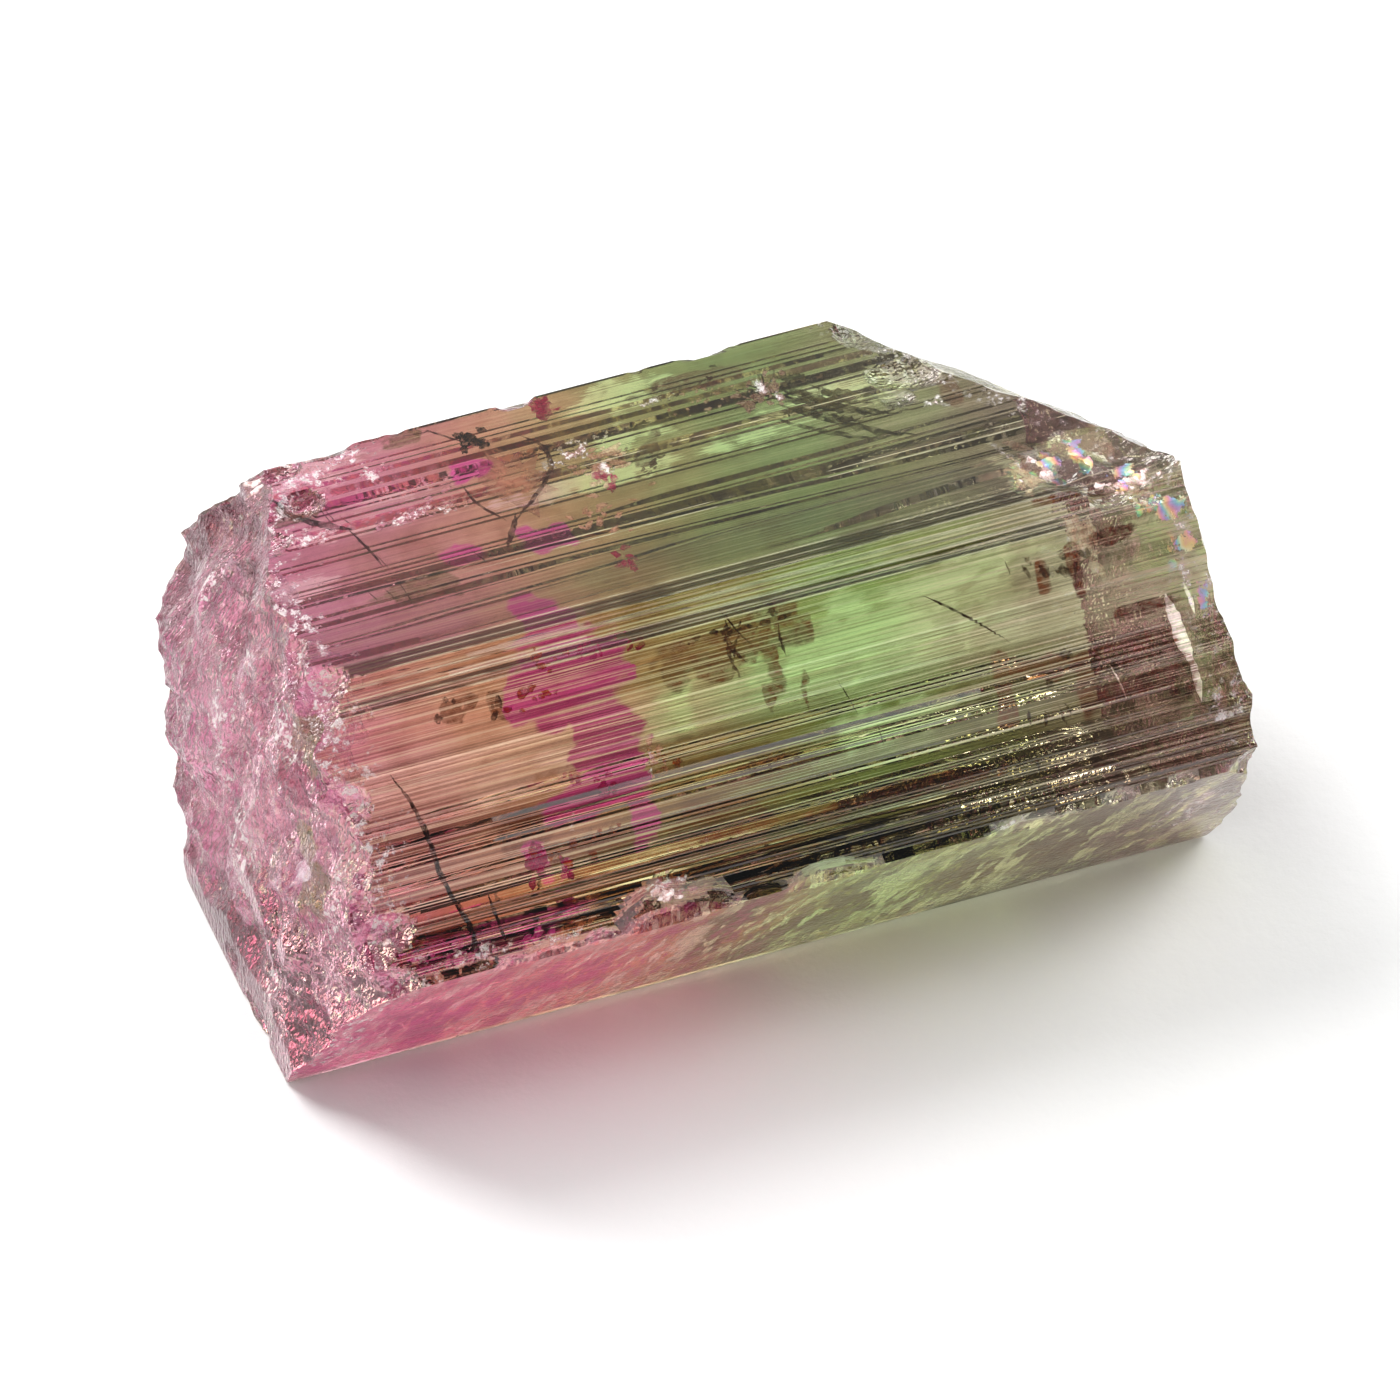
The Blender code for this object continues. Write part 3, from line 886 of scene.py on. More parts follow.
class Skin(Nodes):
    """The crystal's own material, with the masks and the noise that its layers share."""

    def __init__(self):
        super().__init__(bpy.data.materials.new("tourmaline_zoned"))
        self.spot = self.millimetres()
        self.x = self.parts(self.spot)[0]
        self.around, self.broken, self.at_left, self.cloud, self.ragged = (
            self.attribute(name) for name in ("around", "broken", "left", "cloud", "ragged"))
        past_bevel = self.math("GREATER_THAN", self.around, FACES[0].width)
        self.on_front = self.times(self.math("LESS_THAN", self.around, FRONT_TOP), past_bevel)
        self.on_bevel = self.times(self.opposite(past_bevel), self.math("GREATER_THAN", self.around, 0.0))
        self.fine = self.noise(self.spot, 2.6, 3.0, 0.78)
        # One noise is drawn out into hair lines, or, on the lower front face, into a leaning grain.
        leaning = self.math("MULTIPLY_ADD", self.around, -GRAIN_LEAN, self.x)
        lines = self.join(self.times(self.x, LINE_SCALE[0]), self.times(self.around, LINE_SCALE[1]))
        grain = self.join(self.times(leaning, GRAIN_SCALE[0]), self.times(self.around, GRAIN_SCALE[1]))
        self.hair = self.noise(self.mix(self.on_bevel, lines, grain), 1.0, 3.0, 0.75, "2D")

    def blotted(self, kind, wobble, softness):
        """A mask of the blots of one kind, with ragged edges."""
        return self.range(self.math("ADD", self.attribute(kind), wobble), 0.0, softness, smooth=True)


def break_tints(skin, colour):
    """Clouds of deep and pale pink on the left break, with dark veins and pale specks, and a greyer tone of
    the zone on the right one."""
    clouded = skin.range(skin.cloud, -1.7, 1.7, smooth=True)
    veins = skin.range(skin.fine, 0.53, 0.62, 0.0, 0.7, smooth=True)
    specks = skin.range(skin.fine, 0.46, 0.38, 0.0, 0.8, smooth=True)
    pink = skin.mix(veins, skin.mix(clouded, DEEP_PINK, PALE_PINK), VEIN_PINK)
    pink = skin.mix(specks, pink, SPECK_PINK)
    grey = skin.mix(skin.range(skin.x, 9.0, 12.0), colour, BREAK_GREY)
    grey = skin.mix(clouded, grey, PALE_GREY)
    grey = skin.mix(skin.times(veins, 0.45), grey, VEIN_GREY)
    return skin.mix(skin.times(skin.broken, 0.9), colour, skin.mix(skin.at_left, grey, pink))


def windows(skin, colour):
    """Clear patches that let more light through: green ones, and pink ones at the pink end."""
    streaky = skin.math("MULTIPLY_ADD", skin.ragged, 1.3, skin.range(skin.hair, 0.35, 0.65, -0.5, 0.5))
    clear = skin.mix(skin.on_front, WINDOW, FRONT_WINDOW)
    pink = skin.mix(skin.on_front, TOP_PINK_WINDOW, PINK_WINDOW)
    clear = skin.mix(skin.range(skin.x, -5.0, -3.0, 1.0, 0.0), clear, pink)
    return skin.mix(skin.times(skin.blotted("window", streaky, 0.35), 0.75), colour, clear)


def brown_stains(skin, colour):
    """Earthy patches, thinner in places."""
    stained = skin.blotted("brown", skin.math("MULTIPLY_ADD", skin.ragged, 0.8, 0.15), 0.25)
    stained = skin.times(stained, skin.range(skin.fine, 0.38, 0.58, 0.68, 1.0))
    earthy = skin.mix(skin.broken, skin.mix(skin.on_front, BROWN, FRONT_BROWN), BREAK_BROWN)
    return skin.mix(stained, colour, earthy)


def magenta_stains(skin, colour):
    """Vivid patches that stop at a ragged end, where the pink zone ends."""
    end = skin.math("MULTIPLY_ADD", skin.ragged, 0.6, MAGENTA_END)
    stained = skin.blotted("magenta", skin.times(skin.ragged, 0.7), 0.2)
    stained = skin.times(stained, skin.math("LESS_THAN", skin.x, end))
    vivid = skin.mix(skin.broken, skin.mix(skin.on_front, MAGENTA, FRONT_MAGENTA), BREAK_MAUVE)
    return skin.mix(skin.times(stained, 0.96), colour, vivid)


def bevel_marks(skin, colour):
    """Leaning streaks, dark and pale, and thin veins that cloud the lower front face."""
    share = skin.range(skin.x, -4.0, 1.5)
    dark, pale, vein = (skin.mix(share, *tones) for tones in (BEVEL_DARK, BEVEL_PALE, BEVEL_VEIN))
    torn = skin.math("MULTIPLY_ADD", skin.cloud, 0.7, skin.range(skin.hair, 0.3, 0.7, -1.5, 1.5))
    veined = skin.range(skin.math("ABSOLUTE", skin.math("SUBTRACT", skin.hair, 0.47)), 0.026, 0.01)
    for mask, tone in (
        (skin.range(torn, 0.3, 0.8, 0.0, 0.9, smooth=True), dark),
        (skin.range(torn, -0.3, -0.8, 0.0, 0.85, smooth=True), pale),
        (skin.times(veined, 0.85), vein),
    ):
        colour = skin.mix(skin.times(skin.on_bevel, mask), colour, tone)
    return colour


def painted_line_shading(skin, colour):
    """Painted shade and highlights along the growth lines: darker panels between the bundles of lines, and
    dark and pale hair lines all over.
    """
    whole = skin.opposite(skin.broken)
    depth = skin.times(skin.belt(skin.around, STRIPE_BELT, STRIPE_LENGTH), whole)
    line = skin.times(skin.attribute("line"), whole)
    dark = skin.times(skin.range(skin.attribute("broad"), -0.7, 0.7, smooth=True), skin.opposite(line))
    colour = skin.mix(skin.times(dark, depth, 0.55), colour, PANEL_SHADE, "MULTIPLY")
    hair_dark = skin.range(skin.hair, 0.545, 0.6, smooth=True)
    colour = skin.mix(skin.times(hair_dark, depth, 0.75), colour, HAIR_SHADE, "MULTIPLY")
    hair_light = skin.range(skin.hair, 0.455, 0.4, smooth=True)
    return skin.mix(skin.times(hair_light, depth, 0.65), colour, HAIR_LIGHT)


def bright_lines(skin, lines):
    """A mask of the painted highlight lines of one set."""
    length = lines.end - lines.start
    stops = [((at - lines.start + step * lines.reach) / length, level)
             for at in lines.places for step, level in ((-1, 0.0), (0, 1.0), (1, 0.0))]
    return skin.ramp(skin.range(skin.around, lines.start, lines.end), stops)


def painted_highlight_lines(skin):
    """A mask of all the painted highlight lines: those on the top come and go, and fade towards the pink
    end.
    """
    fading = skin.range(skin.x, -9.0, -4.0, 0.2, 1.0)
    top = skin.times(bright_lines(skin, TOP_LINES), skin.range(skin.cloud, -0.9, 0.3), fading)
    ridge = skin.times(bright_lines(skin, RIDGE_LINES), skin.range(skin.cloud, 1.4, -0.2, 0.15, 0.75))
    return skin.most(top, ridge)


def film_colour(nodes, way):
    """Thin-film colours that run through the spectrum across a crack."""
    return nodes.ramp(nodes.math("FRACT", nodes.times(way, FILM_TURNS)), SPECTRUM)


def frost_and_highlight_tints(skin):
    """The colours of the crushed spots and of the painted highlight on the left break: pinker at the left
    break, with white specks.
    """
    specks = skin.range(skin.fine, 0.52, 0.58)
    return skin.mix(specks, skin.mix(skin.at_left, FROST, PINK_FROST_AND_HIGHLIGHT), WHITE_FROST_AND_HIGHLIGHT)


def tourmaline_material():
    """Zoned, stained and striped glassy stone, with frosted spots and thin films that let less light
    through, and with painted highlights and painted shade along its lines.
    """
    skin = Skin()
    colour = skin.attribute("zones", "Color")
    for layer in (break_tints, windows, brown_stains, magenta_stains, bevel_marks, painted_line_shading):
        colour = layer(skin, colour)
    # Painted highlights: pale lines on the ridge and the top, which also let less light through.
    edges = painted_highlight_lines(skin)
    # Frosted spots, with one painted highlight among them on the left break.
    frost = skin.blotted("frost", skin.range(skin.fine, 0.35, 0.65, -1.1, 0.5), 0.9)
    rainbow = skin.blotted("rainbow", skin.range(skin.fine, 0.3, 0.7, -0.8, 0.6), 0.3)
    colour = skin.mix(skin.times(edges, 0.9), colour, HIGHLIGHT_LINE_TINT)
    colour = skin.mix(skin.times(frost, 0.85), colour, frost_and_highlight_tints(skin))
    film = film_colour(skin, skin.math("MULTIPLY_ADD", skin.cloud, 0.2, skin.x))
    colour = skin.mix(rainbow, colour, film)

    left_break = skin.times(skin.broken, skin.at_left)
    dull = skin.times(left_break, skin.range(skin.cloud, -1.9, 1.9, 0.0, 0.16))
    haze = skin.times(skin.belt(skin.around, HAZE_BELT, HAZE_BELT[-1][0]), skin.range(skin.x, 9.8, 11.8))
    for mask, strength in ((frost, 0.55), (rainbow, 0.5), (edges, 0.6), (skin.on_bevel, 0.28), (haze, 1.0)):
        dull = skin.most(dull, skin.times(mask, strength))
    rough = skin.times(skin.most(skin.broken, skin.on_bevel), 0.07)
    skin.shade(Base_Color=colour, Transmission_Weight=skin.opposite(dull), IOR=REFRACTION,
               Roughness=skin.math("MULTIPLY_ADD", frost, 0.3, rough))
    hackle = skin.noise(skin.stretched(skin.spot, HACKLE_STRETCH), HACKLE_SCALE, 1.0, 0.9)
    uneven = skin.most(skin.times(skin.on_bevel, 0.25), skin.times(skin.broken, 0.9), left_break, frost)
    skin.bump(hackle, HACKLE_DEPTH, skin.times(uneven, 0.8))
    absorb = skin.node("VolumeAbsorption", (BODY_TINT, BODY_DENSITY))
    skin.put(skin.tree.nodes["Material Output"].inputs["Volume"], absorb.outputs[0])
    return skin.owner


# -------------------- sealed in

# Everything sealed in the crystal is placed by x along it, the distance round the section, and the depth
# under the face there, all in millimetres.

def under_face(x, around, depth):
    """The place under the surface, which way the face there looks, and the way round it."""
    corner = np.array((REST_FRONT_EDGE, 0.0))
    for face, width in zip(FACES, face_widths()[1:]):
        if around <= width:
            break
        corner = corner + across(face.angle) * width
        around -= width
    look, way = outward(face.angle), across(face.angle)
    front, up = corner + way * around - look * depth
    spot = Vector((x, ORIGIN_FRONT - front, up))
    return spot, Vector((0.0, -look[0], look[1])), Vector((0.0, -way[0], way[1]))


SHEET_THICKNESS = 0.03
RIBBON_SIDES = 6


class Sheets:
    """Gathers thin closed shapes into one piece."""

    def __init__(self, name, material, draw):
        self.name = name
        self.material = material
        self.draw = draw
        self.points = []
        self.faces = []

    def flake(self, centre, first, second, radius, stretch, bend=0.15, corners=15):
        """A ragged lens that lies in the plane of its two directions."""
        normal = first.cross(second)
        start = len(self.points)
        for i in range(corners):
            turn = 2 * math.pi * i / corners
            reach = radius * self.draw.uniform(0.62, 1.15)
            across_it, along_it = reach * math.cos(turn), reach * math.sin(turn) * stretch
            lift = bend * (across_it ** 2 - 0.4 * along_it ** 2) / radius
            self.points.append(centre + first * across_it + second * along_it + normal * lift)
        for side in (1, -1):
            tip = len(self.points)
            self.points.append(centre + normal * side * SHEET_THICKNESS / 2)
            for i in range(corners):
                pair = (start + i, start + (i + 1) % corners)
                self.faces.append((*pair[::side], tip))

    def ribbon(self, width, places, ragged=0.25, taper=0.12):
        """A thin band along a curve through places given as (x, around, depth)."""
        path = [under_face(*spot) for spot in smooth_route(places)]
        rings = []
        for i, (spot, look, _) in enumerate(path):
            ahead = (path[min(i + 1, len(path) - 1)][0] - path[max(i - 1, 0)][0]).normalized()
            sideways = ahead.cross(look).normalized()
            share = i / (len(path) - 1)
            fade = min(1.0, taper + 3.2 * min(share, 1 - share))
            half = width / 2 * fade * self.draw.uniform(1 - ragged, 1 + ragged)
            drift = width * ragged * self.draw.uniform(-0.5, 0.5)
            first = len(self.points)
            rings.append([first + side for side in range(RIBBON_SIDES)])
            for side in range(RIBBON_SIDES):
                turn = 2 * math.pi * side / RIBBON_SIDES
                thick = look * (SHEET_THICKNESS / 2 * math.sin(turn))
                self.points.append(spot + (sideways * (half * math.cos(turn) + drift) + thick))
        for here, there in zip(rings, rings[1:]):
            for side in range(RIBBON_SIDES):
                after = (side + 1) % RIBBON_SIDES
                self.faces.append((here[side], here[after], there[after], there[side]))
        self.faces += [tuple(rings[0][::-1]), tuple(rings[-1])]

    def ribbons(self, rows, **shape):
        for row in rows:
            self.ribbon(row.width, [(*spot, row.depth) for spot in row.places], **shape)

    def piece(self):
        mesh = bpy.data.meshes.new(self.name)
        mesh.from_pydata([point * MM for point in self.points], [], self.faces)
        mesh.validate()
        mesh.shade_smooth()
        mesh.materials.append(self.material)
        obj = add_object(self.name, mesh)
        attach(obj, "root")


def near(draw, middle, spread):
    """A random place about the middle."""
    return [at + draw.gauss(0, reach) for at, reach in zip(middle, spread)]


def smooth_route(places, per_leg=7):
    """Points on a smooth curve through the places."""
    spots = [Vector(place) for place in places]
    spots = [2 * spots[0] - spots[1], *spots, 2 * spots[-1] - spots[-2]]
    route = []
    for a, b, c, d in zip(spots, spots[1:], spots[2:], spots[3:]):
        for i in range(per_leg):
            t = i / per_leg
            route.append(0.5 * (2 * b + (c - a) * t + (2 * a - 5 * b + 4 * c - d) * t ** 2
                                + (3 * b - a - 3 * c + d) * t ** 3))
    return [*route, spots[-2]]


# Thin coloured films: two colours that cloud into each other, how opaque and how rough they are, how much
# painted glow they give off in place of the light they reflect, the scale of their clouding, and the part
# of it that shows.
USUAL_FILM = (0.0, 2.0, 0.42, 0.58)
Film = namedtuple("Film", "first second alpha roughness sparkle scale low high", defaults=USUAL_FILM)
FILMS = {
    "crack_brown": Film((0.05, 0.015, 0.012), (0.16, 0.05, 0.04), 0.95, 0.3),
    "fracture_beige": Film((0.86, 0.66, 0.55), (0.66, 0.42, 0.33), 0.6, 0.2, 0.38, 1.0),
    "fracture_rim": Film((0.1, 0.05, 0.03), (0.2, 0.1, 0.06), 0.95, 0.3),
    "grain_olive": Film((0.05, 0.05, 0.01), (0.2, 0.2, 0.05), 0.95, 0.3, 0.0, 5.0),
    "plume_pale": Film((0.95, 0.82, 0.84), (0.45, 0.15, 0.2), 0.9, 0.15, 0.5, 6.0),
    "plume_dark": Film((0.14, 0.11, 0.05), (0.32, 0.26, 0.12), 0.65, 0.3, 0.05),
    "flake_brown": Film((0.2, 0.07, 0.02), (0.42, 0.19, 0.07), 0.6, 0.35, 0.04),
    "flake_orange": Film((0.9, 0.3, 0.06), (0.6, 0.12, 0.03), 0.7, 0.3, 0.15),
    "flake_pale": Film((0.98, 0.88, 0.86), (0.8, 0.5, 0.46), 0.75, 0.12, 0.45, 3.0),
    "flake_magenta": Film((0.7, 0.03, 0.25), (0.85, 0.12, 0.45), 0.75, 0.3, 0.2),
    "veil_milky": Film((0.95, 0.8, 0.86), (0.9, 0.6, 0.7), 0.5, 0.25, 0.3, 1.2, 0.45, 0.62),
    "split_white": Film((0.86, 0.8, 1.0), (0.72, 0.62, 0.76), 1.0, 0.2, 1.3, 4.0, 0.3, 0.4),
}


def stain(name):
    """A thin coloured film, clouded so that it shows more in some places than in others."""
    film = FILMS[name]
    nodes = Nodes(bpy.data.materials.new(name))
    shade = nodes.noise(nodes.millimetres(), film.scale * 1.5, 3.0, 0.65)
    colour = nodes.mix(nodes.range(shade, 0.38, 0.62), film.second, film.first)
    nodes.shade(Base_Color=colour, Roughness=film.roughness,
                Alpha=nodes.range(shade, film.low, film.high, film.alpha * 0.35, film.alpha, smooth=True))
    # A painted glow, in place of the light that the film reflects.
    if film.sparkle:
        nodes.shade(Emission_Color=colour, Emission_Strength=film.sparkle)
        nodes.owner.cycles.emission_sampling = "NONE"
    return nodes.owner


def rainbow_material():
    """Thin-film colours that run through the spectrum across a crack, with a painted glow in place of the
    light that it reflects.
    """
    nodes = Nodes(bpy.data.materials.new("crack_rainbow"))
    spot = nodes.millimetres()
    x, y, _ = nodes.parts(spot)
    film = film_colour(nodes, nodes.math("ADD", x, nodes.times(y, 0.6)))
    shown = nodes.range(nodes.noise(spot, 3.0, 4.0), 0.42, 0.56, 0.05, 0.9, smooth=True)
    nodes.shade(Base_Color=film, Emission_Color=film, Emission_Strength=0.5, Alpha=shown, Roughness=0.25)
    return nodes.owner


# Ribbons under the surface: a width, a depth, and the (x, around) places that each runs through.
Ribbon = namedtuple("Ribbon", "width depth places")
CRACKS = (
    Ribbon(0.17, 0.2, (
        (-12.4, 15.4), (-11.9, 14.2), (-11.6, 12.9), (-11.4, 11.6), (-10.9, 10.2), (-10.7, 9.2),
    )),
    Ribbon(0.2, 0.2, ((-11.2, 10.9), (-10.8, 9.9), (-10.75, 9.1), (-10.45, 8.9))),
    Ribbon(0.1, 0.2, ((-10.1, 11.0), (-9.9, 9.9), (-9.7, 8.8))),
    Ribbon(0.26, 0.2, ((-12.6, 27.2), (-11.9, 25.9), (-11.2, 25.3), (-10.6, 24.9))),
    Ribbon(0.1, 0.2, ((-10.7, 25.0), (-10.4, 23.9), (-10.2, 23.0))),
    Ribbon(0.07, 0.3, ((-7.6, 29.0), (-6.6, 28.0), (-5.9, 27.3))),
    Ribbon(0.07, 0.3, ((5.6, 16.6), (6.6, 15.8), (8.1, 14.4))),
    Ribbon(0.05, 0.3, ((-0.9, 17.9), (-0.5, 17.0), (-0.1, 16.4))),
    Ribbon(0.035, 0.3, ((2.3, 14.7), (2.6, 13.9), (2.75, 13.4))),
    Ribbon(0.035, 0.3, ((3.3, 13.0), (3.4, 12.2))),
)
FRACTURE_RIM = (
    Ribbon(0.17, 0.2, ((-4.2, 27.0), (-3.7, 26.3), (-3.8, 25.3), (-4.7, 24.3), (-5.8, 23.4))),
    Ribbon(0.1, 0.2, ((-6.7, 25.6), (-6.5, 24.6), (-5.9, 23.6))),
    Ribbon(0.2, 0.2, ((-5.5, 23.8), (-5.9, 23.1), (-6.3, 22.5))),
)
SPLITS = (
    Ribbon(0.42, 0.1, ((13.3, 14.7), (13.45, 13.8), (13.62, 12.9), (13.8, 12.1))),
    Ribbon(0.24, 0.1, ((13.75, 12.6), (13.85, 11.8), (13.9, 10.9))),
    Ribbon(0.14, 0.1, ((13.95, 14.9), (14.1, 14.3), (14.15, 13.8))),
    Ribbon(0.05, 0.3, ((11.1, 12.9), (11.35, 12.2), (11.5, 11.6))),
)


# A streak's course: how far it runs ahead, drops and leans aside at each place, and its depth there.
STREAK_SHAPE = (
    (0.0, 0.0, 0.0, 0.35), (0.35, 0.3, 0.25, 0.35), (0.7, 0.52, 0.55, 0.4), (1.0, 0.66, 0.6, 0.45),
)

# Where the olive grain and the plume's tuft have their middles, and where the plume's streaks start.
OLIVE_MIDDLE = (-5.75, 27.3)
TUFT = (3.75, 26.2)
LONG_STREAKS_START = (4.0, 25.9)
SHORT_STREAKS_START = (3.7, 26.3)

# How many there are of each small thing.
SHORT_CRACKS = 9
OLIVE_GRAINS = 14
TUFT_FLAKES = 46
LONG_STREAKS = 13
SHORT_STREAKS = 12
STAIN_DRIPS = 4
LINE_DRIPS = 16
VEILS = 26


def dark_cracks():
    """Long curved cracks, seen edge on, and a few short ones near the pink end."""
    draw = random.Random(5)
    cracks = Sheets("dark_cracks", stain("crack_brown"), draw)
    cracks.ribbons(CRACKS)
    for _ in range(SHORT_CRACKS):
        x, around = draw.uniform(-11.5, -6.5), draw.uniform(22.0, 28.0)
        end = x + draw.uniform(0.1, 0.5), around - draw.uniform(0.5, 1.2)
        cracks.ribbons([Ribbon(0.035, 0.3, ((x, around), end))])
    cracks.piece()


def shell_fracture():
    """The heart-shaped fracture under the top face, with its dark rim and the olive grain beside it."""
    draw = random.Random(8)
    film = Sheets("shell_fracture", stain("fracture_beige"), draw)
    spot, _, way = under_face(-5.1, 25.2, 0.45)
    ahead = Vector((1.0, 0.0, 0.0))
    film.flake(spot, ahead * 0.96 + way * 0.28, way * 0.96 - ahead * 0.28, 1.15, 1.3, bend=0.3, corners=26)
    film.piece()
    rim = Sheets("shell_fracture_rim", stain("fracture_rim"), draw)
    rim.ribbons(FRACTURE_RIM)
    rim.piece()
    grain = Sheets("olive_grain", stain("grain_olive"), draw)
    for _ in range(OLIVE_GRAINS):
        spot, look, way = under_face(*near(draw, OLIVE_MIDDLE, (0.22, 0.3)), 0.35)
        turn = draw.uniform(0, math.pi)
        first = ahead * math.cos(turn) + way * math.sin(turn)
        grain.flake(spot, first, look.cross(first), draw.uniform(0.12, 0.28), 0.7)
    grain.piece()


def plume():
    """A pale tuft under the top face, with dark curved streaks that trail from it and spread around it."""
    draw = random.Random(12)
    tuft = Sheets("plume_tuft", stain("plume_pale"), draw)
    for _ in range(TUFT_FLAKES):
        x, around = near(draw, TUFT, (0.42, 0.42))
        spot, look, _ = under_face(x, around, draw.uniform(0.2, 0.7))
        first = Vector((draw.gauss(0, 1), draw.gauss(0, 1), draw.gauss(0, 1))).normalized()
        second = first.cross(look).normalized()
        tuft.flake(spot, first, second, draw.uniform(0.07, 0.26), draw.uniform(0.3, 0.9), corners=9)
    tuft.piece()
    streaks = Sheets("plume_streaks", stain("plume_dark"), draw)
    for _ in range(LONG_STREAKS):
        lean = draw.uniform(-0.9, 0.9)
        x, around = near(draw, LONG_STREAKS_START, (0.4, 0.4))
        run = draw.uniform(0.8, 4.2)
        places = [(x + run * ahead, around - run * drop - lean * aside, depth)
                  for ahead, drop, aside, depth in STREAK_SHAPE]
        streaks.ribbon(draw.uniform(0.08, 0.3), places, ragged=0.5)
    for _ in range(SHORT_STREAKS):
        turn = draw.uniform(0.5, 3.3)
        reach = draw.uniform(0.5, 1.2)
        x, around = SHORT_STREAKS_START
        places = [(x + far * math.cos(way), around + far * math.sin(way))
                  for far, way in ((0.0, turn), (reach * 0.6, turn), (reach, turn + 0.2))]
        streaks.ribbons([Ribbon(0.05, 0.3, places)], ragged=0.4)
    streaks.piece()


Swarm = namedtuple("Swarm", "x around spread_x spread_around count small big stretch")


def swarms(*rows):
    return [Swarm(*row) for row in rows]


BROWN_SWARMS = swarms(
    (-2.2, 17.1, 1.0, 0.25, 6, 0.06, 0.2, 0.5), (-0.4, 16.9, 0.8, 0.3, 8, 0.06, 0.22, 0.5),
    (1.2, 17.2, 0.6, 0.3, 5, 0.06, 0.2, 0.6), (-8.6, 16.6, 0.25, 0.25, 3, 0.06, 0.16, 1.5),
    (-10.1, 16.9, 0.25, 0.25, 3, 0.06, 0.16, 1.3), (-1.0, 24.6, 0.5, 0.6, 16, 0.06, 0.2, 0.5),
    (1.9, 27.6, 0.9, 0.35, 12, 0.06, 0.18, 0.5), (-0.6, 12.6, 1.6, 0.35, 10, 0.05, 0.18, 0.6),
    (9.4, 13.3, 1.6, 0.5, 8, 0.05, 0.18, 1.6), (4.6, 9.6, 5.5, 0.3, 10, 0.05, 0.14, 0.5),
    (11.0, 16.3, 1.6, 0.5, 8, 0.05, 0.2, 1.4), (4.0, 4.6, 3.2, 0.7, 10, 0.06, 0.24, 0.5),
)
ORANGE_SWARMS = swarms(
    (-7.4, 16.6, 0.7, 0.4, 8, 0.08, 0.25, 0.6), (-6.8, 17.9, 0.8, 0.3, 12, 0.06, 0.2, 0.6),
    (-6.4, 11.6, 1.4, 0.5, 12, 0.07, 0.24, 0.9), (-3.6, 13.4, 0.3, 0.2, 8, 0.06, 0.16, 1.0),
)
PALE_SWARMS = swarms(
    (-2.2, 25.0, 0.9, 0.9, 34, 0.08, 0.34, 0.5), (-3.2, 23.0, 0.9, 0.6, 20, 0.06, 0.24, 0.5),
    (1.9, 26.6, 1.1, 0.5, 26, 0.05, 0.16, 0.6), (-4.3, 9.5, 0.45, 0.35, 34, 0.08, 0.28, 0.8),
    (-8.1, 8.9, 1.6, 0.25, 20, 0.06, 0.24, 0.6), (-11.3, 8.9, 1.2, 0.4, 24, 0.06, 0.26, 0.7),
    (-13.2, 12.0, 0.4, 2.2, 30, 0.06, 0.22, 1.0), (-12.8, 18.0, 0.5, 1.3, 24, 0.05, 0.18, 0.8),
    (-13.5, 15.4, 0.4, 1.2, 30, 0.06, 0.2, 1.0), (-11.4, 28.2, 1.3, 0.5, 40, 0.08, 0.34, 0.5),
    (-8.2, 25.0, 1.2, 0.5, 24, 0.06, 0.28, 0.4), (-4.0, 13.6, 0.3, 0.5, 18, 0.05, 0.14, 1.0),
    (10.3, 20.4, 0.35, 0.9, 26, 0.08, 0.26, 1.8), (11.2, 16.9, 0.35, 0.7, 26, 0.06, 0.24, 1.8),
    (14.2, 5.0, 0.5, 1.4, 26, 0.1, 0.4, 1.6), (13.2, 18.6, 0.8, 0.6, 40, 0.06, 0.22, 0.8),
)
MAGENTA_SWARMS = swarms(
    (-8.3, 11.3, 0.25, 0.7, 16, 0.08, 0.28, 1.3), (-7.4, 11.0, 0.2, 0.3, 8, 0.06, 0.18, 1.2),
    (-5.2, 17.8, 1.2, 0.3, 10, 0.06, 0.22, 0.5), (-3.0, 21.0, 0.35, 0.4, 10, 0.06, 0.16, 1.4),
    (-2.3, 24.6, 0.25, 0.5, 10, 0.06, 0.18, 1.4), (-6.0, 13.6, 1.0, 0.5, 8, 0.08, 0.3, 0.8),
    (-3.1, 29.0, 0.3, 0.9, 14, 0.1, 0.36, 1.5),
)
RAINBOW_SWARMS = swarms(
    (11.0, 20.1, 0.35, 0.35, 9, 0.1, 0.28, 1.2), (12.2, 20.4, 0.35, 0.5, 12, 0.1, 0.26, 1.4),
    (13.2, 19.0, 0.4, 0.4, 12, 0.08, 0.24, 0.9), (13.6, 17.6, 0.5, 0.4, 9, 0.08, 0.22, 0.8),
    (13.9, 15.9, 0.3, 0.5, 8, 0.06, 0.18, 1.2),
)


def scatter(sheets, groups):
    """Small flakes scattered about each swarm's middle, lying nearly along the face."""
    draw = sheets.draw
    for group in groups:
        for _ in range(group.count):
            spread = (group.spread_x / 1.6, group.spread_around / 1.6)
            x, around = near(draw, (group.x, group.around), spread)
            spot, look, way = under_face(x, around, draw.uniform(0.2, 0.8))
            turn = draw.gauss(0.25, 0.5)
            first = Vector((math.cos(turn), 0.0, 0.0)) + way * math.sin(turn) + look * draw.gauss(0, 0.25)
            first.normalize()
            second = look.cross(first).normalized()
            radius = draw.uniform(group.small, group.big)
            sheets.flake(spot, first, second, radius, group.stretch, corners=11)


def coloured_flakes(name, material, groups, seed):
    flakes = Sheets(name, material, random.Random(seed))
    scatter(flakes, groups)
    flakes.piece()


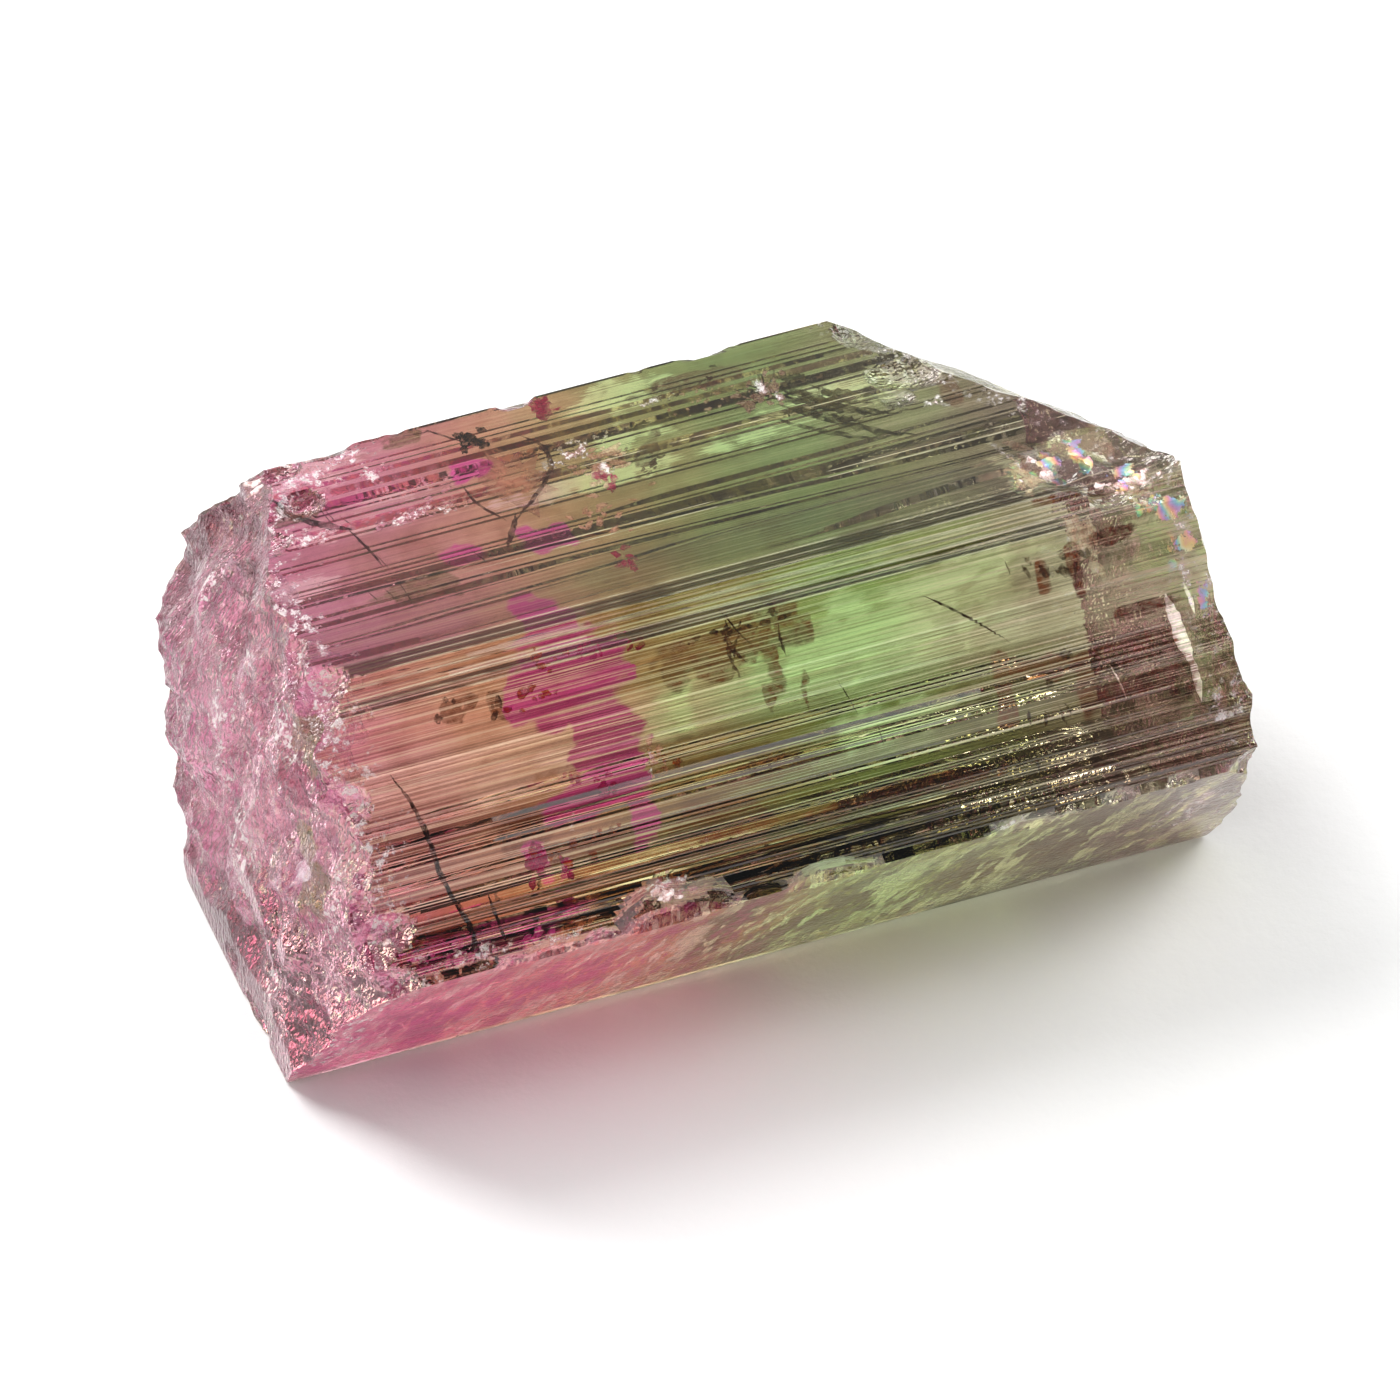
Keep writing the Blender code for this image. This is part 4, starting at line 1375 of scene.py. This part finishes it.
def brown_flakes():
    """Earthy flakes, with drips that hang from them and from the growth lines near the grey end."""
    draw = random.Random(31)
    flakes = Sheets("brown_flakes", stain("flake_brown"), draw)
    scatter(flakes, BROWN_SWARMS)
    for _ in range(STAIN_DRIPS):
        x, around = draw.uniform(-2.6, 1.6), draw.uniform(15.9, 17.6)
        drop = draw.uniform(0.4, 1.5)
        middle = x + draw.gauss(0, 0.08), around - drop / 2
        end = x + draw.gauss(0.05, 0.12), around - drop
        flakes.ribbons([Ribbon(draw.uniform(0.05, 0.16), 0.4, ((x, around), middle, end))], ragged=0.5)
    for _ in range(LINE_DRIPS):
        x, around = draw.uniform(7.5, 14.5), draw.choice((16.9, 13.5, 12.0, 10.6)) + draw.gauss(0, 0.15)
        drop = draw.uniform(0.3, 0.9)
        end = x + draw.gauss(0.1, 0.1), around - drop
        flakes.ribbons([Ribbon(draw.uniform(0.05, 0.16), 0.4, ((x, around), end))], ragged=0.5)
    flakes.piece()


def slivers():
    """Bright pointed splits beside the right break, lit by a painted glow."""
    splits = Sheets("white_splits", stain("split_white"), random.Random(52))
    splits.ribbons(SPLITS, ragged=0.15, taper=0.05)
    splits.piece()


def veils():
    """Milky films along healed cracks under the left break."""
    draw = random.Random(44)
    milky = Sheets("milky_veils", stain("veil_milky"), draw)
    for _ in range(VEILS):
        spot = Vector((draw.uniform(-14.4, -12.4), draw.uniform(-5.5, 5.0), draw.uniform(2.5, 13.0)))
        first = Vector((draw.gauss(0, 0.35), draw.gauss(0, 0.6), 1.0)).normalized()
        second = first.cross(Vector((1.0, draw.gauss(0, 0.5), 0.0))).normalized()
        milky.flake(spot, second, first, draw.uniform(0.35, 0.9), 2.2, bend=0.4, corners=21)
    milky.piece()


# -------------------- the stage

FLOOR_GAP = 0.1
FLOOR_SIZE = 3.0
PAPER = (0.9, 0.9, 0.9)
CAMERA_AZIMUTH = -20.5
CAMERA_ELEVATION = 45.0
CAMERA_DISTANCE = 0.495
CAMERA_LENS = 400.0
CAMERA_AIM = Vector((0.0001, 0.0, 0.0066))

# The key light stands behind the crystal, to the left, and the fill hangs overhead on the camera's side.
SoftBox = namedtuple("SoftBox", "name place width height power")
SOFT_BOXES = (
    SoftBox("key", Vector((-0.21, 0.33, 0.4)), 0.26, 0.34, 3.0),
    SoftBox("left", Vector((-0.44, -0.16, 0.34)), 0.3, 0.3, 0.9),
    SoftBox("right", Vector((0.45, 0.06, 0.34)), 0.34, 0.34, 1.8),
    SoftBox("fill", Vector((0.1, -0.12, 0.46)), 0.26, 0.2, 0.3),
)

# The surround's brightness behind the crystal, from the horizon (0) to overhead (1).
SKY_LEVELS = ((0.0, 1.1), (0.4, 0.85), (0.6, 0.62), (0.78, 0.5), (1.0, 0.35))
SKY_FRONT = 0.14
# How far back a direction points, from where the surround leaves its front level to where it has done so.
SKY_TURN = (-0.5, 0.3)


def paper_material():
    nodes = Nodes(bpy.data.materials.new("white_paper"))
    nodes.shade(Base_Color=PAPER, Roughness=0.9, Specular_IOR_Level=0.1)
    nodes.bump(nodes.noise(nodes.millimetres(), 1.6, 4.0, 0.6), 0.0001, 0.25)
    return nodes.owner


def floor():
    mesh = bpy.data.meshes.new("paper")
    corners = [(x * FLOOR_SIZE, y * FLOOR_SIZE, -FLOOR_GAP * MM)
               for x, y in ((-0.5, -0.5), (0.5, -0.5), (0.5, 0.5), (-0.5, 0.5))]
    mesh.from_pydata(corners, [], [(0, 1, 2, 3)])
    mesh.materials.append(paper_material())
    obj = add_object("paper", mesh)


def aim(obj, target):
    obj.rotation_euler = (target - obj.location).to_track_quat("-Z", "Y").to_euler()


def softbox(box):
    light = bpy.data.lights.new(box.name, "AREA")
    light.shape = "RECTANGLE"
    light.size = box.width
    light.size_y = box.height
    light.energy = box.power
    obj = add_object(box.name, light)
    obj.location = box.place
    aim(obj, Vector())


def sky():
    """A plain white surround, brightest low down behind the crystal and darker on the camera's side."""
    nodes = Nodes(bpy.data.worlds.new("studio"), "Background")
    bpy.context.scene.world = nodes.owner
    _, back, up = nodes.parts(nodes.coordinates("Generated"))
    behind = nodes.range(back, *SKY_TURN, smooth=True)
    front = (SKY_FRONT, SKY_FRONT, SKY_FRONT)
    nodes.shade(Color=nodes.mix(behind, front, nodes.ramp(up, SKY_LEVELS, "EASE")))


def camera():
    data = bpy.data.cameras.new("camera")
    data.lens = CAMERA_LENS
    data.clip_start = 0.01
    azimuth, elevation = math.radians(CAMERA_AZIMUTH), math.radians(CAMERA_ELEVATION)
    level = math.cos(elevation)
    away = Vector((math.sin(azimuth) * level, -math.cos(azimuth) * level, math.sin(elevation)))
    obj = add_object("camera", data)
    obj.location = CAMERA_AIM + away * CAMERA_DISTANCE
    aim(obj, CAMERA_AIM)
    bpy.context.scene.camera = obj


def look():
    """Plain colours, and enough bounces for light to find its way through the crystal."""
    scene = bpy.context.scene
    scene.view_settings.view_transform = "Standard"
    scene.cycles.max_bounces = 8
    scene.cycles.diffuse_bounces = 2
    scene.cycles.glossy_bounces = 4
    scene.cycles.transmission_bounces = 8
    scene.cycles.transparent_max_bounces = 6


camera()
look()
crystal()
dark_cracks()
shell_fracture()
plume()
brown_flakes()
coloured_flakes("orange_flakes", stain("flake_orange"), ORANGE_SWARMS, 51)
coloured_flakes("pale_flakes", stain("flake_pale"), PALE_SWARMS, 52)
coloured_flakes("magenta_flakes", stain("flake_magenta"), MAGENTA_SWARMS, 53)
coloured_flakes("rainbow_cracks", rainbow_material(), RAINBOW_SWARMS, 54)
veils()
slivers()
floor()
for box in SOFT_BOXES:
    softbox(box)
sky()
